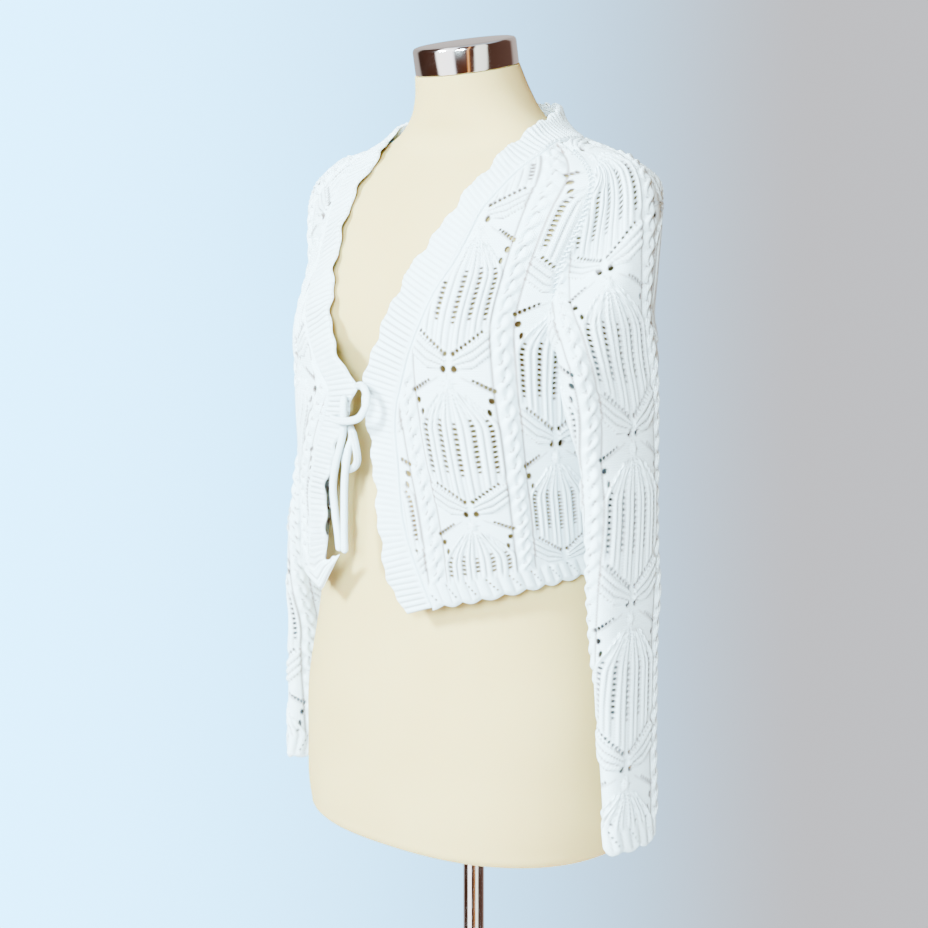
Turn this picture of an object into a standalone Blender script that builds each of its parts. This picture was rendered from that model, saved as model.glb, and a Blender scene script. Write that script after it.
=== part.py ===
"""Tie-front cropped cardigan in openwork knit, worn by a limbless dress form on a pole stand.

Metres, +Z up, origin on the floor under the pole. The form faces -Y, so the wearer's left is +X.
Heights called `z` in the tables are measured from the underside of the torso.
"""
import math

import bpy
import numpy as np
from mathutils import Vector
from mathutils.bvhtree import BVHTree

# Dress form and stand
TORSO_HEIGHT_ABOVE_FLOOR = 0.655
BASE_RADIUS, BASE_THICK, BASE_DOME = 0.170, 0.010, 0.008
POLE_RADIUS = 0.0098
SLEEVE_TUBE_RADIUS, SLEEVE_TUBE_TOP = 0.0127, 0.420
CAP_RADIUS, CAP_HEIGHT, CAP_TILT = 0.0450, 0.024, math.radians(10.8)
MATING_GAP = 0.0003

# Knitted cloth
CLOTH = 0.0018
BAND_CLOTH = 0.0024
SEAM_GAP = 0.0004
REST_GAP, BACK_NECK_GAP = 0.0009, 0.0008
MOTIF_WIDTH = 0.088
BODY_MOTIF_HEIGHT, SLEEVE_MOTIF_HEIGHT = 0.1265, 0.1415
CABLE_RISE, RIB_RISE = 0.0018, 0.0009
EDGE_CLEAR, SEAM_FADE = 0.0065, 0.012
FRONT_FIRST_HOLE, BACK_FIRST_HOLE, SLEEVE_FIRST_HOLE, HOLE_CLEAR = 0.0877, 0.0877, 0.0735, 0.012
HOLE_HALF_WIDTH, HOLE_HALF_HEIGHT, HOLE_OFFSET = 0.0026, 0.0033, 0.0055
SIDE_HOLE_OFFSET, SIDE_HOLE_DROP = 0.0300, 0.0240
ROW_PITCH = 0.024
CLOSE_ROWS_Z, CLOSE_ROWS = 0.572, 4
SCALLOP_PITCH, HEM_SCALLOP, BAND_SCALLOP = 0.021, 0.0030, 0.0026
SLEEVE_SPLIT = MOTIF_WIDTH / 2
SLEEVE_SQUARE = 2.3
SHOULDER_BLEND = 0.075
# How full the sleeve is just above the underarm, by (front, wearer's left)
UNDERARM_FOLD = {(True, True): 1.0, (False, True): 0.45, (True, False): 0.10, (False, False): 0.80}
SAME_SEAM, OUT_EVENING = 0.0030, 0.25
TIE_RADIUS = 0.0033


def rows(names, *values):
    """A table with named columns, as arrays."""
    columns = np.array(values, float).T
    table = dict(zip(names.split(), columns))
    table["row"] = np.arange(len(values), dtype=float)
    return table


FORM = rows(
    "z      half_width front  back   square centre_y",
    (-0.009, 0.1590,   0.117, 0.117, 2.40,  0.000),
    (-0.006, 0.1620,   0.120, 0.120, 2.40,  0.000),
    (0.003, 0.1640,    0.122, 0.122, 2.40,  0.000),
    (0.065, 0.1660,    0.124, 0.126, 2.40,  0.000),
    (0.110, 0.1655,    0.123, 0.127, 2.40,  0.000),
    (0.180, 0.1560,    0.116, 0.120, 2.30,  0.000),
    (0.250, 0.1460,    0.112, 0.106, 2.20,  0.000),
    (0.300, 0.1405,    0.110, 0.098, 2.15,  0.000),
    (0.350, 0.1390,    0.108, 0.096, 2.15,  0.000),
    (0.400, 0.1400,    0.109, 0.097, 2.20,  0.000),
    (0.450, 0.1450,    0.110, 0.101, 2.25,  0.000),
    (0.500, 0.1560,    0.104, 0.106, 2.35,  0.000),
    (0.535, 0.1690,    0.093, 0.107, 2.45,  0.000),
    (0.560, 0.1750,    0.080, 0.104, 2.45,  0.000),
    (0.578, 0.1700,    0.068, 0.098, 2.40,  0.002),
    (0.592, 0.1460,    0.058, 0.089, 2.30,  0.004),
    (0.603, 0.1150,    0.051, 0.080, 2.20,  0.006),
    (0.616, 0.0860,    0.048, 0.069, 2.10,  0.005),
    (0.632, 0.0655,    0.048, 0.059, 2.00,  0.001),
    (0.652, 0.0525,    0.047, 0.053, 2.00, -0.004),
    (0.6735, 0.0460,   0.0460, 0.0465, 2.00, -0.0095),
)
BUST = {"angle": 33.0, "spread": 21.0, "z": 0.452, "above": 0.052, "below": 0.034, "rise": 0.027}

# How the cardigan hangs where it stands off the form
DRAPE = rows(
    "z      half_width front  back   square",
    (0.200, 0.1520,    0.139, 0.122, 2.45),
    (0.300, 0.1500,    0.141, 0.116, 2.45),
    (0.400, 0.1530,    0.143, 0.112, 2.50),
    (0.450, 0.1560,    0.139, 0.112, 2.50),
    (0.500, 0.1580,    0.110, 0.111, 2.45),
    (0.550, 0.1600,    0.070, 0.100, 2.40),
    (0.600, 0.1000,    0.040, 0.085, 2.20),
    (0.635, 0.0740,    0.030, 0.075, 2.00),
    (0.660, 0.0700,    0.030, 0.071, 2.00),
)
EASE = rows("z ease", (0.2, 0.0040), (0.50, 0.0036), (0.56, 0.0040), (0.60, 0.0050), (0.63, 0.0050), (0.66, 0.0050))

# The bands, one row for each cross line from the hem to the centre back. Angles run from the front
# to each side. The wearer's right front lies further open, and its corner is turned up: dip lowers
# the middle of the band there.
LEFT_BAND = rows(
    "free_angle free_z seam_angle seam_z dip",
    (19.0,  0.2120, 28.5,  0.2205, 0.0),
    (13.2,  0.2320, 25.2,  0.2405, 0.0),
    (9.8,   0.2580, 21.0,  0.2670, 0.0),
    (7.6,   0.2980, 17.8,  0.2980, 0.0),
    (6.2,   0.3420, 16.6,  0.3400, 0.0),
    (4.0,   0.3740, 15.7,  0.3710, 0.0),
    (1.5,   0.3970, 16.2,  0.3910, 0.0),
    (1.7,   0.4080, 17.2,  0.4010, 0.0),
    (5.6,   0.4280, 19.0,  0.4180, 0.0),
    (9.0,   0.4560, 22.0,  0.4430, 0.0),
    (14.0,  0.4960, 28.0,  0.4820, 0.0),
    (22.5,  0.5230, 35.0,  0.5090, 0.0),
    (31.0,  0.5450, 40.5,  0.5320, 0.0),
    (38.1,  0.5650, 45.0,  0.5500, 0.0),
    (44.6,  0.5770, 50.5,  0.5640, 0.0),
    (53.5,  0.5945, 58.0,  0.5805, 0.0),
    (60.0,  0.6035, 65.0,  0.5920, 0.0),
    (67.5,  0.6120, 72.0,  0.6000, 0.0),
    (79.0,  0.6210, 79.5,  0.6072, 0.0),
    (92.0,  0.6274, 92.0,  0.6102, 0.0),
    (107.6, 0.6331, 107.0, 0.6108, 0.0),
    (125.0, 0.6385, 125.0, 0.6110, 0.0),
    (150.0, 0.6430, 150.0, 0.6110, 0.0),
    (180.0, 0.6445, 180.0, 0.6110, 0.0),
)
RIGHT_BAND = rows(
    "free_angle free_z seam_angle seam_z dip",
    (13.3,  0.2535, 36.0,  0.2252, 0.022),
    (21.8,  0.2460, 34.5,  0.2360, 0.004),
    (20.8,  0.2600, 33.0,  0.2520, 0.0),
    (19.8,  0.2780, 31.5,  0.2730, 0.0),
    (20.4,  0.3050, 31.5,  0.3030, 0.0),
    (15.7,  0.3316, 27.0,  0.3320, 0.0),
    (10.6,  0.3580, 22.0,  0.3590, 0.0),
    (5.0,   0.3840, 17.5,  0.3820, 0.0),
    (2.2,   0.3990, 16.6,  0.3940, 0.0),
    (3.4,   0.4070, 17.2,  0.4010, 0.0),
    (7.8,   0.4180, 20.5,  0.4100, 0.0),
    (12.5,  0.4350, 24.5,  0.4240, 0.0),
    (18.0,  0.4550, 29.5,  0.4420, 0.0),
    (24.5,  0.4852, 37.0,  0.4720, 0.0),
    (30.5,  0.5078, 42.0,  0.4950, 0.0),
    (35.0,  0.5267, 46.0,  0.5140, 0.0),
    (39.5,  0.5487, 49.5,  0.5370, 0.0),
    (43.5,  0.5651, 52.5,  0.5540, 0.0),
    (48.8,  0.5852, 57.0,  0.5730, 0.0),
    (56.0,  0.5995, 63.5,  0.5885, 0.0),
    (65.0,  0.6100, 71.0,  0.5990, 0.0),
    (79.0,  0.6210, 79.5,  0.6072, 0.0),
    (92.0,  0.6274, 92.0,  0.6102, 0.0),
    (107.6, 0.6331, 107.0, 0.6108, 0.0),
    (125.0, 0.6385, 125.0, 0.6110, 0.0),
    (150.0, 0.6430, 150.0, 0.6110, 0.0),
    (180.0, 0.6445, 180.0, 0.6110, 0.0),
)
RAGLAN = rows(
    "z      front_angle back_angle",
    (0.430, 89.5,       90.5),
    (0.445, 73.0,       104.0),
    (0.465, 66.5,       111.0),
    (0.490, 67.0,       114.0),
    (0.520, 70.2,       114.5),
    (0.545, 73.6,       112.0),
    (0.568, 76.2,       108.5),
    (0.588, 78.6,       105.5),
    (0.6072, 82.5,      102.0),
)
UNDERARM_Z = 0.430
# Where the knitting's columns run up the fronts, as angles: the first cable, the first lace panel's
# middle, the second cable and the second lace panel's middle, half a motif apart
FRONT_COLUMNS = rows(
    "z      cable_1 lace_1 cable_2 lace_2",
    (0.209, 32.0,   44.5,  59.0,   72.0),
    (0.300, 27.5,   40.9,  56.5,   69.5),
    (0.360, 23.0,   37.0,  54.0,   67.5),
    (0.418, 19.5,   34.2,  51.0,   66.5),
    (0.460, 18.5,   35.5,  50.0,   68.0),
    (0.500, 19.5,   39.5,  54.5,   73.0),
    (0.548, 22.0,   46.3,  61.5,   80.0),
    (0.610, 22.0,   57.0,  76.0,   94.0),
)
HEM = rows(
    "angle z",
    (0.0,   0.2090),
    (18.0,  0.2130),
    (28.0,  0.2205),
    (44.0,  0.2300),
    (60.0,  0.2385),
    (75.0,  0.2440),
    (180.0, 0.2440),
)

# Outer line of the sleeve over the shoulder, one row for each height of the raglan seam
SHOULDER_LINE = rows(
    "raglan_z x       y        z       right_back middle_u",
    (0.430,   0.2085, -0.0410, 0.4300, 0.0600,    -0.010),
    (0.455,   0.2065, -0.0340, 0.4680, 0.0480,    -0.022),
    (0.485,   0.2030, -0.0230, 0.5120, 0.0320,    -0.034),
    (0.515,   0.1970, -0.0120, 0.5480, 0.0160,    -0.038),
    (0.545,   0.1850, -0.0040, 0.5780, 0.0060,    -0.036),
    (0.575,   0.1560, 0.0030,  0.5975, 0.0000,    -0.028),
    (0.6072,  0.1085, 0.0050,  0.6088, 0.0000,    -0.015),
)
# Sleeve below the underarm: half_depth runs fore and aft, half_thick across. The wearer's right
# sleeve hangs further back by right_back; the lace panel's middle lies off the outer line by middle_u
SLEEVE = rows(
    "z      centre_x centre_y half_thick half_depth right_back middle_u",
    (0.016, 0.2010,  -0.0254, 0.0100,    0.0300,    0.0069,    -0.018),
    (0.060, 0.2010,  -0.0277, 0.0115,    0.0310,    0.0116,    -0.017),
    (0.130, 0.2000,  -0.0308, 0.0130,    0.0342,    0.0188,    -0.014),
    (0.240, 0.1975,  -0.0343, 0.0150,    0.0395,    0.0278,    -0.007),
    (0.330, 0.1945,  -0.0358, 0.0170,    0.0427,    0.0490,    -0.001),
    (0.400, 0.1890,  -0.0384, 0.0190,    0.0513,    0.0570,    -0.003),
    (0.430, 0.1875,  -0.0410, 0.0210,    0.0580,    0.0600,    -0.010),
)
# Soft folds of the sleeve: height, centre angle round it, rise, reach along and across
SLEEVE_FOLDS = rows(
    "z      angle  rise    tall   wide",
    (0.395, 100.0, 0.0040, 0.030, 40.0),
    (0.350, 60.0, -0.0030, 0.022, 50.0),
    (0.300, 110.0, 0.0020, 0.028, 45.0),
    (0.235, -70.0, 0.0020, 0.024, 50.0),
    (0.150, 80.0, -0.0020, 0.026, 45.0),
    (0.050, -30.0, 0.0020, 0.030, 35.0),
)


def clear_scene():
    for old in list(bpy.data.objects):
        bpy.data.objects.remove(old, do_unlink=True)


def smooth(table, key, column, at):
    """Cubic Hermite curve through a table's points, held flat past its ends."""
    x, y = table[key], table[column]
    at = np.clip(np.asarray(at, float), x[0], x[-1])
    slope = np.gradient(y, x)
    i = np.clip(np.searchsorted(x, at, side="right") - 1, 0, len(x) - 2)
    step = x[i + 1] - x[i]
    t = (at - x[i]) / step
    return ((2 * t**3 - 3 * t**2 + 1) * y[i] + (t**3 - 2 * t**2 + t) * step * slope[i]
            + (3 * t**2 - 2 * t**3) * y[i + 1] + (t**3 - t**2) * step * slope[i + 1])


def section_radius(table, angle, z):
    """Radius of a rounded section at an angle (degrees) from the front."""
    a = np.radians(angle)
    square = smooth(table, "z", "square", z)
    depth = np.where(np.cos(a) > 0, smooth(table, "z", "front", z), smooth(table, "z", "back", z))
    half_width = smooth(table, "z", "half_width", z)
    total = (np.abs(np.sin(a)) / half_width) ** square + (np.abs(np.cos(a)) / depth) ** square
    return total ** (-1 / square)


def bust_rise(angle, z):
    turned = np.abs((np.asarray(angle, float) + 180) % 360 - 180)
    reach = np.where(np.asarray(z) > BUST["z"], BUST["above"], BUST["below"])
    across = np.exp(-((turned - BUST["angle"]) / BUST["spread"]) ** 2)
    return BUST["rise"] * across * np.exp(-((np.asarray(z) - BUST["z"]) / reach) ** 2)


def form_radius(angle, z):
    return section_radius(FORM, angle, z) + bust_rise(angle, z)


def cloth_radius(angle, z):
    """Inside of the cardigan's body: it hangs straight, and rests where the form reaches it."""
    hanging = section_radius(DRAPE, angle, z)
    resting = form_radius(angle, z) + smooth(EASE, "z", "ease", z)
    blend = 0.004
    return (hanging + resting + np.sqrt((hanging - resting) ** 2 + blend**2)) / 2


def lift(z):
    return z + TORSO_HEIGHT_ABOVE_FLOOR


def on_round(radius, angle, z, centre_y=0.0):
    a = np.radians(angle)
    return np.stack(np.broadcast_arrays(radius * np.sin(a), centre_y - radius * np.cos(a), lift(z)), -1)


def form_point(angle, z):
    """A point of the form's skin. The neck leans forward and its top edge tilts with the cap."""
    centre = smooth(FORM, "z", "centre_y", z)
    p = on_round(form_radius(angle, z), angle, z, centre)
    neck_foot, neck_top = 0.622, FORM["z"][-1]
    share = np.clip((np.asarray(z) - neck_foot) / (neck_top - neck_foot), 0, 1)
    p[..., 2] += share * math.tan(CAP_TILT) * (p[..., 1] - centre)
    return p


def cloth_point(angle, z):
    return on_round(cloth_radius(angle, z), angle, z, smooth(FORM, "z", "centre_y", z))


# Meshes

def make_object(name, points, faces, material, rounded=True):
    mesh = bpy.data.meshes.new(name)
    mesh.from_pydata([tuple(map(float, p)) for p in points], [], faces)
    mesh.validate()
    mesh.update()
    piece = bpy.data.objects.new(name, mesh)
    bpy.context.scene.collection.objects.link(piece)
    mesh.materials.append(material)
    if rounded:
        mesh.shade_smooth()
        mesh.set_sharp_from_angle(angle=math.radians(50))
    return piece


def make_material(name, colour, roughness, metallic=0.0):
    material = bpy.data.materials.new(name)
    material.use_nodes = True
    shader = material.node_tree.nodes["Principled BSDF"]
    shader.inputs["Base Color"].default_value = (*colour, 1)
    shader.inputs["Roughness"].default_value = roughness
    shader.inputs["Metallic"].default_value = metallic
    material.diffuse_color = (*colour, 1)
    return material


def ringed_solid(name, rings, material):
    """Closed solid through rings of equal length that run anticlockwise seen from above, from the bottom up."""
    count = len(rings[0])
    points = [p for ring in rings for p in ring]
    faces = [list(range(count))[::-1]]
    for k in range(len(rings) - 1):
        for i in range(count):
            j = (i + 1) % count
            faces.append([k * count + i, k * count + j, (k + 1) * count + j, (k + 1) * count + i])
    faces.append([(len(rings) - 1) * count + i for i in range(count)])
    return make_object(name, points, faces, material)


def turned_solid(name, profile, material, sides=28):
    angles = np.arange(sides) * 2 * math.pi / sides
    rings = [[(r * math.cos(a), r * math.sin(a), z) for a in angles] for r, z in profile]
    return ringed_solid(name, rings, material)


def thick_sheet(name, outer, inner, faces, material):
    """Closed wall between an outer and an inner sheet that share their faces. Open edges get a rim."""
    count = len(outer)
    used = {}
    for face in faces:
        for a, b in zip(face, face[1:] + face[:1]):
            used[(a, b)] = True
    rim = [(a, b) for a, b in used if (b, a) not in used]
    solid = list(faces) + [[i + count for i in face[::-1]] for face in faces]
    solid += [[b, a, a + count, b + count] for a, b in rim]
    return make_object(name, list(outer) + list(inner), solid, material)


def zip_rows(low, high, spans):
    """Faces between two rows of (u, index). Equal u values pair up as quads, the rest as triangles.
    spans collects the quads by their lower left u, so that holes can be cut in them."""
    faces, i, j = [], 0, 0
    while i < len(low) - 1 or j < len(high) - 1:
        next_low = low[i + 1][0] if i < len(low) - 1 else math.inf
        next_high = high[j + 1][0] if j < len(high) - 1 else math.inf
        both = i < len(low) - 1 and j < len(high) - 1
        if both and abs(next_low - next_high) < 0.35 * min(next_low - low[i][0], next_high - high[j][0]):
            quad = [low[i][1], low[i + 1][1], high[j + 1][1], high[j][1]]
            spans.append((low[i][0], low[i + 1][0], quad))
            faces.append(quad)
            i, j = i + 1, j + 1
        elif next_low < next_high:
            faces.append([low[i][1], low[i + 1][1], high[j][1]])
            i += 1
        else:
            faces.append([low[i][1], high[j + 1][1], high[j][1]])
            j += 1
    return faces


# Stitch pattern, in flat cloth coordinates: u across the stitch columns, v up them

def column_lines(low, high):
    """Grid columns on the cables, their edges, the lace panels' middles and their two broad ribs."""
    offsets = (-0.036, -0.015, 0.0, 0.015, 0.036, 0.044)
    first, last = math.floor(low / MOTIF_WIDTH) - 1, math.ceil(high / MOTIF_WIDTH) + 2
    lines = [k * MOTIF_WIDTH + offset for k in range(first, last) for offset in offsets]
    return [u for u in lines if low < u < high]


def place_in_motif(u, v, first_hole, motif_height):
    """(distance from the lace panel's middle, share of the repeat above its large eyelets). Panels
    beside each other are half a repeat apart."""
    k = round(u / MOTIF_WIDTH)
    return u - k * MOTIF_WIDTH, ((v - first_hole) / motif_height + 0.5 * (k % 2)) % 1.0


def raised(u, v, first_hole, motif_height):
    """How far the outer face stands out: plaited cables between the lace panels and broad ribs up each fan."""
    across, height = place_in_motif(u, v, first_hole, motif_height)
    from_cable = MOTIF_WIDTH / 2 - abs(across)
    cable = CABLE_RISE * (1 + 0.25 * math.sin(v / 0.0085)) * math.exp(-(from_cable / 0.006) ** 2)
    in_fan = math.sin(math.pi * min(max((height - 0.12) / 0.80, 0), 1)) ** 0.5
    rib = RIB_RISE * in_fan * math.exp(-((abs(across) - 0.015) / 0.008) ** 2)
    return cable + rib


class Sheet:
    """Rows of knitting between a left and a right edge, turned into a thick wall."""

    def __init__(self, place, first_hole, motif_height=BODY_MOTIF_HEIGHT):
        self.place, self.first_hole, self.motif_height = place, first_hole, motif_height
        self.inner, self.rises, self.faces, self.spans, self.rows = [], [], [], [], []

    def add_row(self, v, left, right, lines, seams=(True, True)):
        """One row. Columns too near an edge are left out, and ribs run out flat towards a seam."""
        chosen = [left] + [u for u in lines if left + EDGE_CLEAR < u < right - EDGE_CLEAR] + [right]
        row = []
        for u in chosen:
            row.append((u, len(self.inner)))
            self.inner.append(self.place(u, v))
            from_seam = min([math.inf] + [abs(u - end) for end, seam in zip((left, right), seams) if seam])
            fade = 1 - math.exp(-(from_seam / SEAM_FADE) ** 2)
            self.rises.append(fade * raised(u, v, self.first_hole, self.motif_height))
        if self.rows:
            spans = []
            self.faces += zip_rows(self.rows[-1][1], row, spans)
            self.spans += [(self.rows[-1][0], v, *span) for span in spans]
        self.rows.append((v, row))

    def cut_holes(self, centres):
        """Each (u, v) centre becomes a four-sided hole through the quad that holds it."""
        for low_v, high_v, low_u, high_u, quad in self.spans:
            for u, v in centres:
                if not (low_v <= v < high_v and low_u <= u < high_u and quad in self.faces):
                    continue
                if high_u - low_u < 4 * HOLE_HALF_WIDTH or high_v - low_v < 4 * HOLE_HALF_HEIGHT:
                    continue
                s = min(max((u - low_u) / (high_u - low_u), 0.30), 0.70)
                t = min(max((v - low_v) / (high_v - low_v), 0.30), 0.70)
                ds, dt = HOLE_HALF_WIDTH / (high_u - low_u), HOLE_HALF_HEIGHT / (high_v - low_v)
                corners = [self.inner[i] for i in quad]
                rises = [self.rises[i] for i in quad]
                ring = []
                for a, b in ((s, t - dt), (s + ds, t), (s, t + dt), (s - ds, t)):
                    weights = ((1 - a) * (1 - b), a * (1 - b), a * b, (1 - a) * b)
                    ring.append(len(self.inner))
                    self.inner.append(sum(w * np.asarray(c) for w, c in zip(weights, corners)))
                    self.rises.append(sum(w * r for w, r in zip(weights, rises)))
                self.faces.remove(quad)
                for k in range(4):
                    after = (k + 1) % 4
                    self.faces.append([quad[k], quad[after], ring[k]])
                    self.faces.append([quad[after], ring[after], ring[k]])
                break

    def settle(self, body):
        """Finds which way is out at each point, evened out over its neighbours, and rests the sheet
        on the form."""
        self.points = np.array(self.inner, float)
        out = np.zeros_like(self.points)
        for face in self.faces:
            corner = self.points[face]
            out[face] += sum(np.cross(corner[k] - corner[0], corner[k + 1] - corner[0])
                             for k in range(1, len(face) - 1))
        out /= np.linalg.norm(out, axis=1)[:, None]
        self.out = out.copy()
        for face in self.faces:
            self.out[face] += OUT_EVENING * out[face].sum(axis=0)
        self.out /= np.linalg.norm(self.out, axis=1)[:, None]
        self.points = rest_on(body, self.points, self.faces)

    def edge_points(self):
        used = {pair for face in self.faces for pair in zip(face, face[1:] + face[:1])}
        return sorted({a for a, b in used if (b, a) not in used})

    def build(self, name, material):
        outer = self.points + self.out * (CLOTH + np.array(self.rises))[:, None]
        return thick_sheet(name, outer, self.points, self.faces, material)


def share_seams(sheets):
    """Walls that meet at a seam point the same way there, with one thickness, so that they stay apart
    right through."""
    edges = [(sheet, i) for sheet in sheets for i in sheet.edge_points()]
    places = np.array([sheet.points[i] for sheet, i in edges])
    out = np.array([sheet.out[i] for sheet, i in edges])
    rises = np.array([sheet.rises[i] for sheet, i in edges])
    for k, (sheet, i) in enumerate(edges):
        near = np.linalg.norm(places - places[k], axis=1) < SAME_SEAM
        mean = out[near].sum(axis=0)
        sheet.out[i] = mean / np.linalg.norm(mean)
        sheet.rises[i] = float(rises[near].mean())


def rest_on(body, points, faces):
    """Moves faces that lie too near the form, or in it, out to the resting gap."""
    moved = points.copy()
    for _ in range(3):
        push = np.zeros(len(moved))
        way = np.zeros_like(moved)
        for face in faces:
            corners = moved[face]
            tests = np.vstack([corners, (corners + np.roll(corners, -1, axis=0)) / 2, corners.mean(axis=0)])
            for p in tests:
                near, normal, _, _ = body.find_nearest(Vector(p))
                short = REST_GAP - (Vector(p) - near).dot(normal)
                for i in face:
                    if short > push[i]:
                        push[i], way[i] = short, normal
        moved += way * push[:, None]
    return moved


# Places on the cardigan's body

HEM_Z = float(HEM["z"][0])
HEM_TUCK = 0.12


def hem_lift(angle):
    """How much higher the hem hangs here than at the front corners."""
    turned = np.abs((np.asarray(angle, float) + 180) % 360 - 180)
    return smooth(HEM, "angle", "z", turned) - HEM_Z


def raised_z(angle, z):
    """The hem is higher round the sides; that fades out by HEM_TUCK above it."""
    return z + hem_lift(angle) * np.clip(1 - (z - HEM_Z) / HEM_TUCK, 0, 1)


def band_line(side, edge):
    """(angle, z) points along the band's free edge or its seam, from the hem to the centre back."""
    table = LEFT_BAND if side > 0 else RIGHT_BAND
    row = np.linspace(0, table["row"][-1], 500)
    return np.stack([smooth(table, "row", edge + "_angle", row), smooth(table, "row", edge + "_z", row)], -1)


def seam_angle(z, side):
    """Angle of the seam between a front panel and its band, for the panel row that starts at z."""
    line = band_line(side, "seam")
    angle = 30.0
    for _ in range(4):
        angle = float(np.interp(float(raised_z(angle, z)), line[:, 1], line[:, 0]))
    return angle


def arc_table(start, end, z):
    angles = np.linspace(start, end, 181)
    points = cloth_point(angles, z)
    steps = np.linalg.norm(np.diff(points, axis=0), axis=1)
    return angles, np.concatenate([[0], np.cumsum(steps)])


def front_row(z, side):
    """(angles, u) round a front at a height; u is 0 up the first lace panel's middle. The columns of
    the wearer's right front are pressed towards the side by its wider opening."""
    angles, run = arc_table(0.0, 100.0, z)
    seam, other_seam = seam_angle(z, side), seam_angle(z, 1)
    known = np.array([float(smooth(FRONT_COLUMNS, "z", c, z)) for c in ("cable_1", "lace_1", "cable_2", "lace_2")])
    known += (seam - other_seam) * np.clip((90 - known) / (90 - other_seam), 0, 1)
    known_run = np.interp(known, angles, run)
    known_u = np.arange(-1, 3) * MOTIF_WIDTH / 2
    u = np.interp(run, known_run, known_u)
    u = np.where(run < known_run[0], known_u[0] - (known_run[0] - run), u)
    return angles, np.where(run > known_run[-1], known_u[-1] + run - known_run[-1], u)


def back_row(z):
    return arc_table(180.0, 90.0, z)


def body_heights():
    """Heights of the knitted rows from the hem up, and the distance up the cloth to each. One row is
    at the underarm, and the rows near the neck lie closer, because the edges turn there."""
    z = np.linspace(HEM_Z, RAGLAN["z"][-1], 400)
    profile = cloth_point(50.0, z)
    run = np.concatenate([[0], np.cumsum(np.linalg.norm(np.diff(profile, axis=0), axis=1))])
    marks = np.interp([HEM_Z, UNDERARM_Z, CLOSE_ROWS_Z], z, run)
    parts = []
    for low, high in zip(marks, marks[1:]):
        parts.append(np.linspace(low, high, int(round((high - low) / ROW_PITCH)) + 1)[:-1])
    wanted = np.concatenate(parts + [np.linspace(marks[-1], run[-1], CLOSE_ROWS + 1)])
    heights = np.interp(wanted, run, z)
    heights[len(parts[0])] = UNDERARM_Z
    return heights, wanted


def scallop(distance):
    return np.abs(np.sin(math.pi * distance / SCALLOP_PITCH))


def body_place(row_of, side):
    """Inner point at (u, v) of a front panel or a half of the back; side is +1 for the wearer's left."""
    cache = {}

    def place(u, v, z_of):
        z = z_of(v)
        if z not in cache:
            cache[z] = row_of(z)
        angles, across = cache[z]
        angle = float(np.interp(u, across, angles))
        p = cloth_point(angle, float(raised_z(angle, z)))
        return np.array([side * p[0], p[1], p[2]])

    return place


def edge_u(row_of, z, angle):
    angles, across = row_of(z)
    order = np.argsort(angles)
    return float(np.interp(angle, angles[order], across[order]))


def raglan_angle(z, which):
    return float(smooth(RAGLAN, "z", which, z))


def front_panel(side):
    heights, run = body_heights()
    z_of = lambda v: float(np.interp(v, run, heights))
    row_of = lambda height: front_row(height, side)
    mapping = body_place(row_of, side)
    sheet = Sheet(lambda u, v: mapping(u, v, z_of), FRONT_FIRST_HOLE)
    for z, v in zip(heights, run):
        angle = 90.0 if z <= UNDERARM_Z else raglan_angle(z, "front_angle")
        left = edge_u(row_of, z, seam_angle(z, side)) + SEAM_GAP
        right = max(edge_u(row_of, z, angle) - SEAM_GAP, left + 0.006)
        sheet.add_row(v, left, right, scallop_lines(left, right) if v == 0 else column_lines(left, right))
    drop_hem(sheet)
    sheet.cut_holes(hole_centres(sheet))
    return finish_side(sheet, side)


def back_panel():
    heights, run = body_heights()
    top = LEFT_BAND["seam_z"][-1] - BACK_NECK_GAP
    run = np.append(run, run[-1] + top - heights[-1])
    heights = np.append(heights, top)
    z_of = lambda v: float(np.interp(v, run, heights))
    left_half, right_half = body_place(back_row, 1), body_place(back_row, -1)
    sheet = Sheet(lambda u, v: (left_half if u < 0 else right_half)(abs(u), v, z_of), BACK_FIRST_HOLE)
    for z, v in zip(heights, run):
        angle = 90.0 if z <= UNDERARM_Z else raglan_angle(z, "back_angle")
        half = edge_u(back_row, z, angle) - SEAM_GAP
        sheet.add_row(v, -half, half, scallop_lines(-half, half) if v == 0 else column_lines(-half, half))
    drop_hem(sheet)
    sheet.cut_holes(hole_centres(sheet))
    return finish_side(sheet, 1)


def scallop_lines(low, high):
    step = SCALLOP_PITCH / 2
    return [k * step for k in range(math.ceil(low / step), math.floor(high / step) + 1)]


def hole_centres(sheet):
    """The pairs of large eyelets at the foot of each fan, then the single ones beside them."""
    low_u = min(u for _, row in sheet.rows for u, _ in row)
    high_u = max(u for _, row in sheet.rows for u, _ in row)
    top = sheet.rows[-1][0]
    large, single = [], []
    for k in range(math.floor(low_u / MOTIF_WIDTH), math.ceil(high_u / MOTIF_WIDTH) + 1):
        for n in range(-1, int(top / sheet.motif_height) + 2):
            v = sheet.first_hole + (n - 0.5 * (k % 2)) * sheet.motif_height
            for side in (-1, 1):
                large.append((k * MOTIF_WIDTH + side * HOLE_OFFSET, v))
                single.append((k * MOTIF_WIDTH + side * SIDE_HOLE_OFFSET, v - SIDE_HOLE_DROP))
    return [(u, v) for u, v in large + single if HOLE_CLEAR < v < top - HOLE_CLEAR]


def drop_hem(sheet):
    """Scallops along the first row: every other point hangs lower."""
    first = sheet.rows[0][1]
    for u, index in first:
        sheet.inner[index] = np.array(sheet.inner[index]) + np.array([0, 0, -HEM_SCALLOP * float(scallop(u))])


def finish_side(sheet, side):
    """Panels are drawn for one side; the faces of the other side's copy turn round."""
    if side > 0:
        sheet.faces = [list(f) for f in sheet.faces]
    else:
        sheet.faces = [list(f)[::-1] for f in sheet.faces]
    return sheet


# Sleeves

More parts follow.
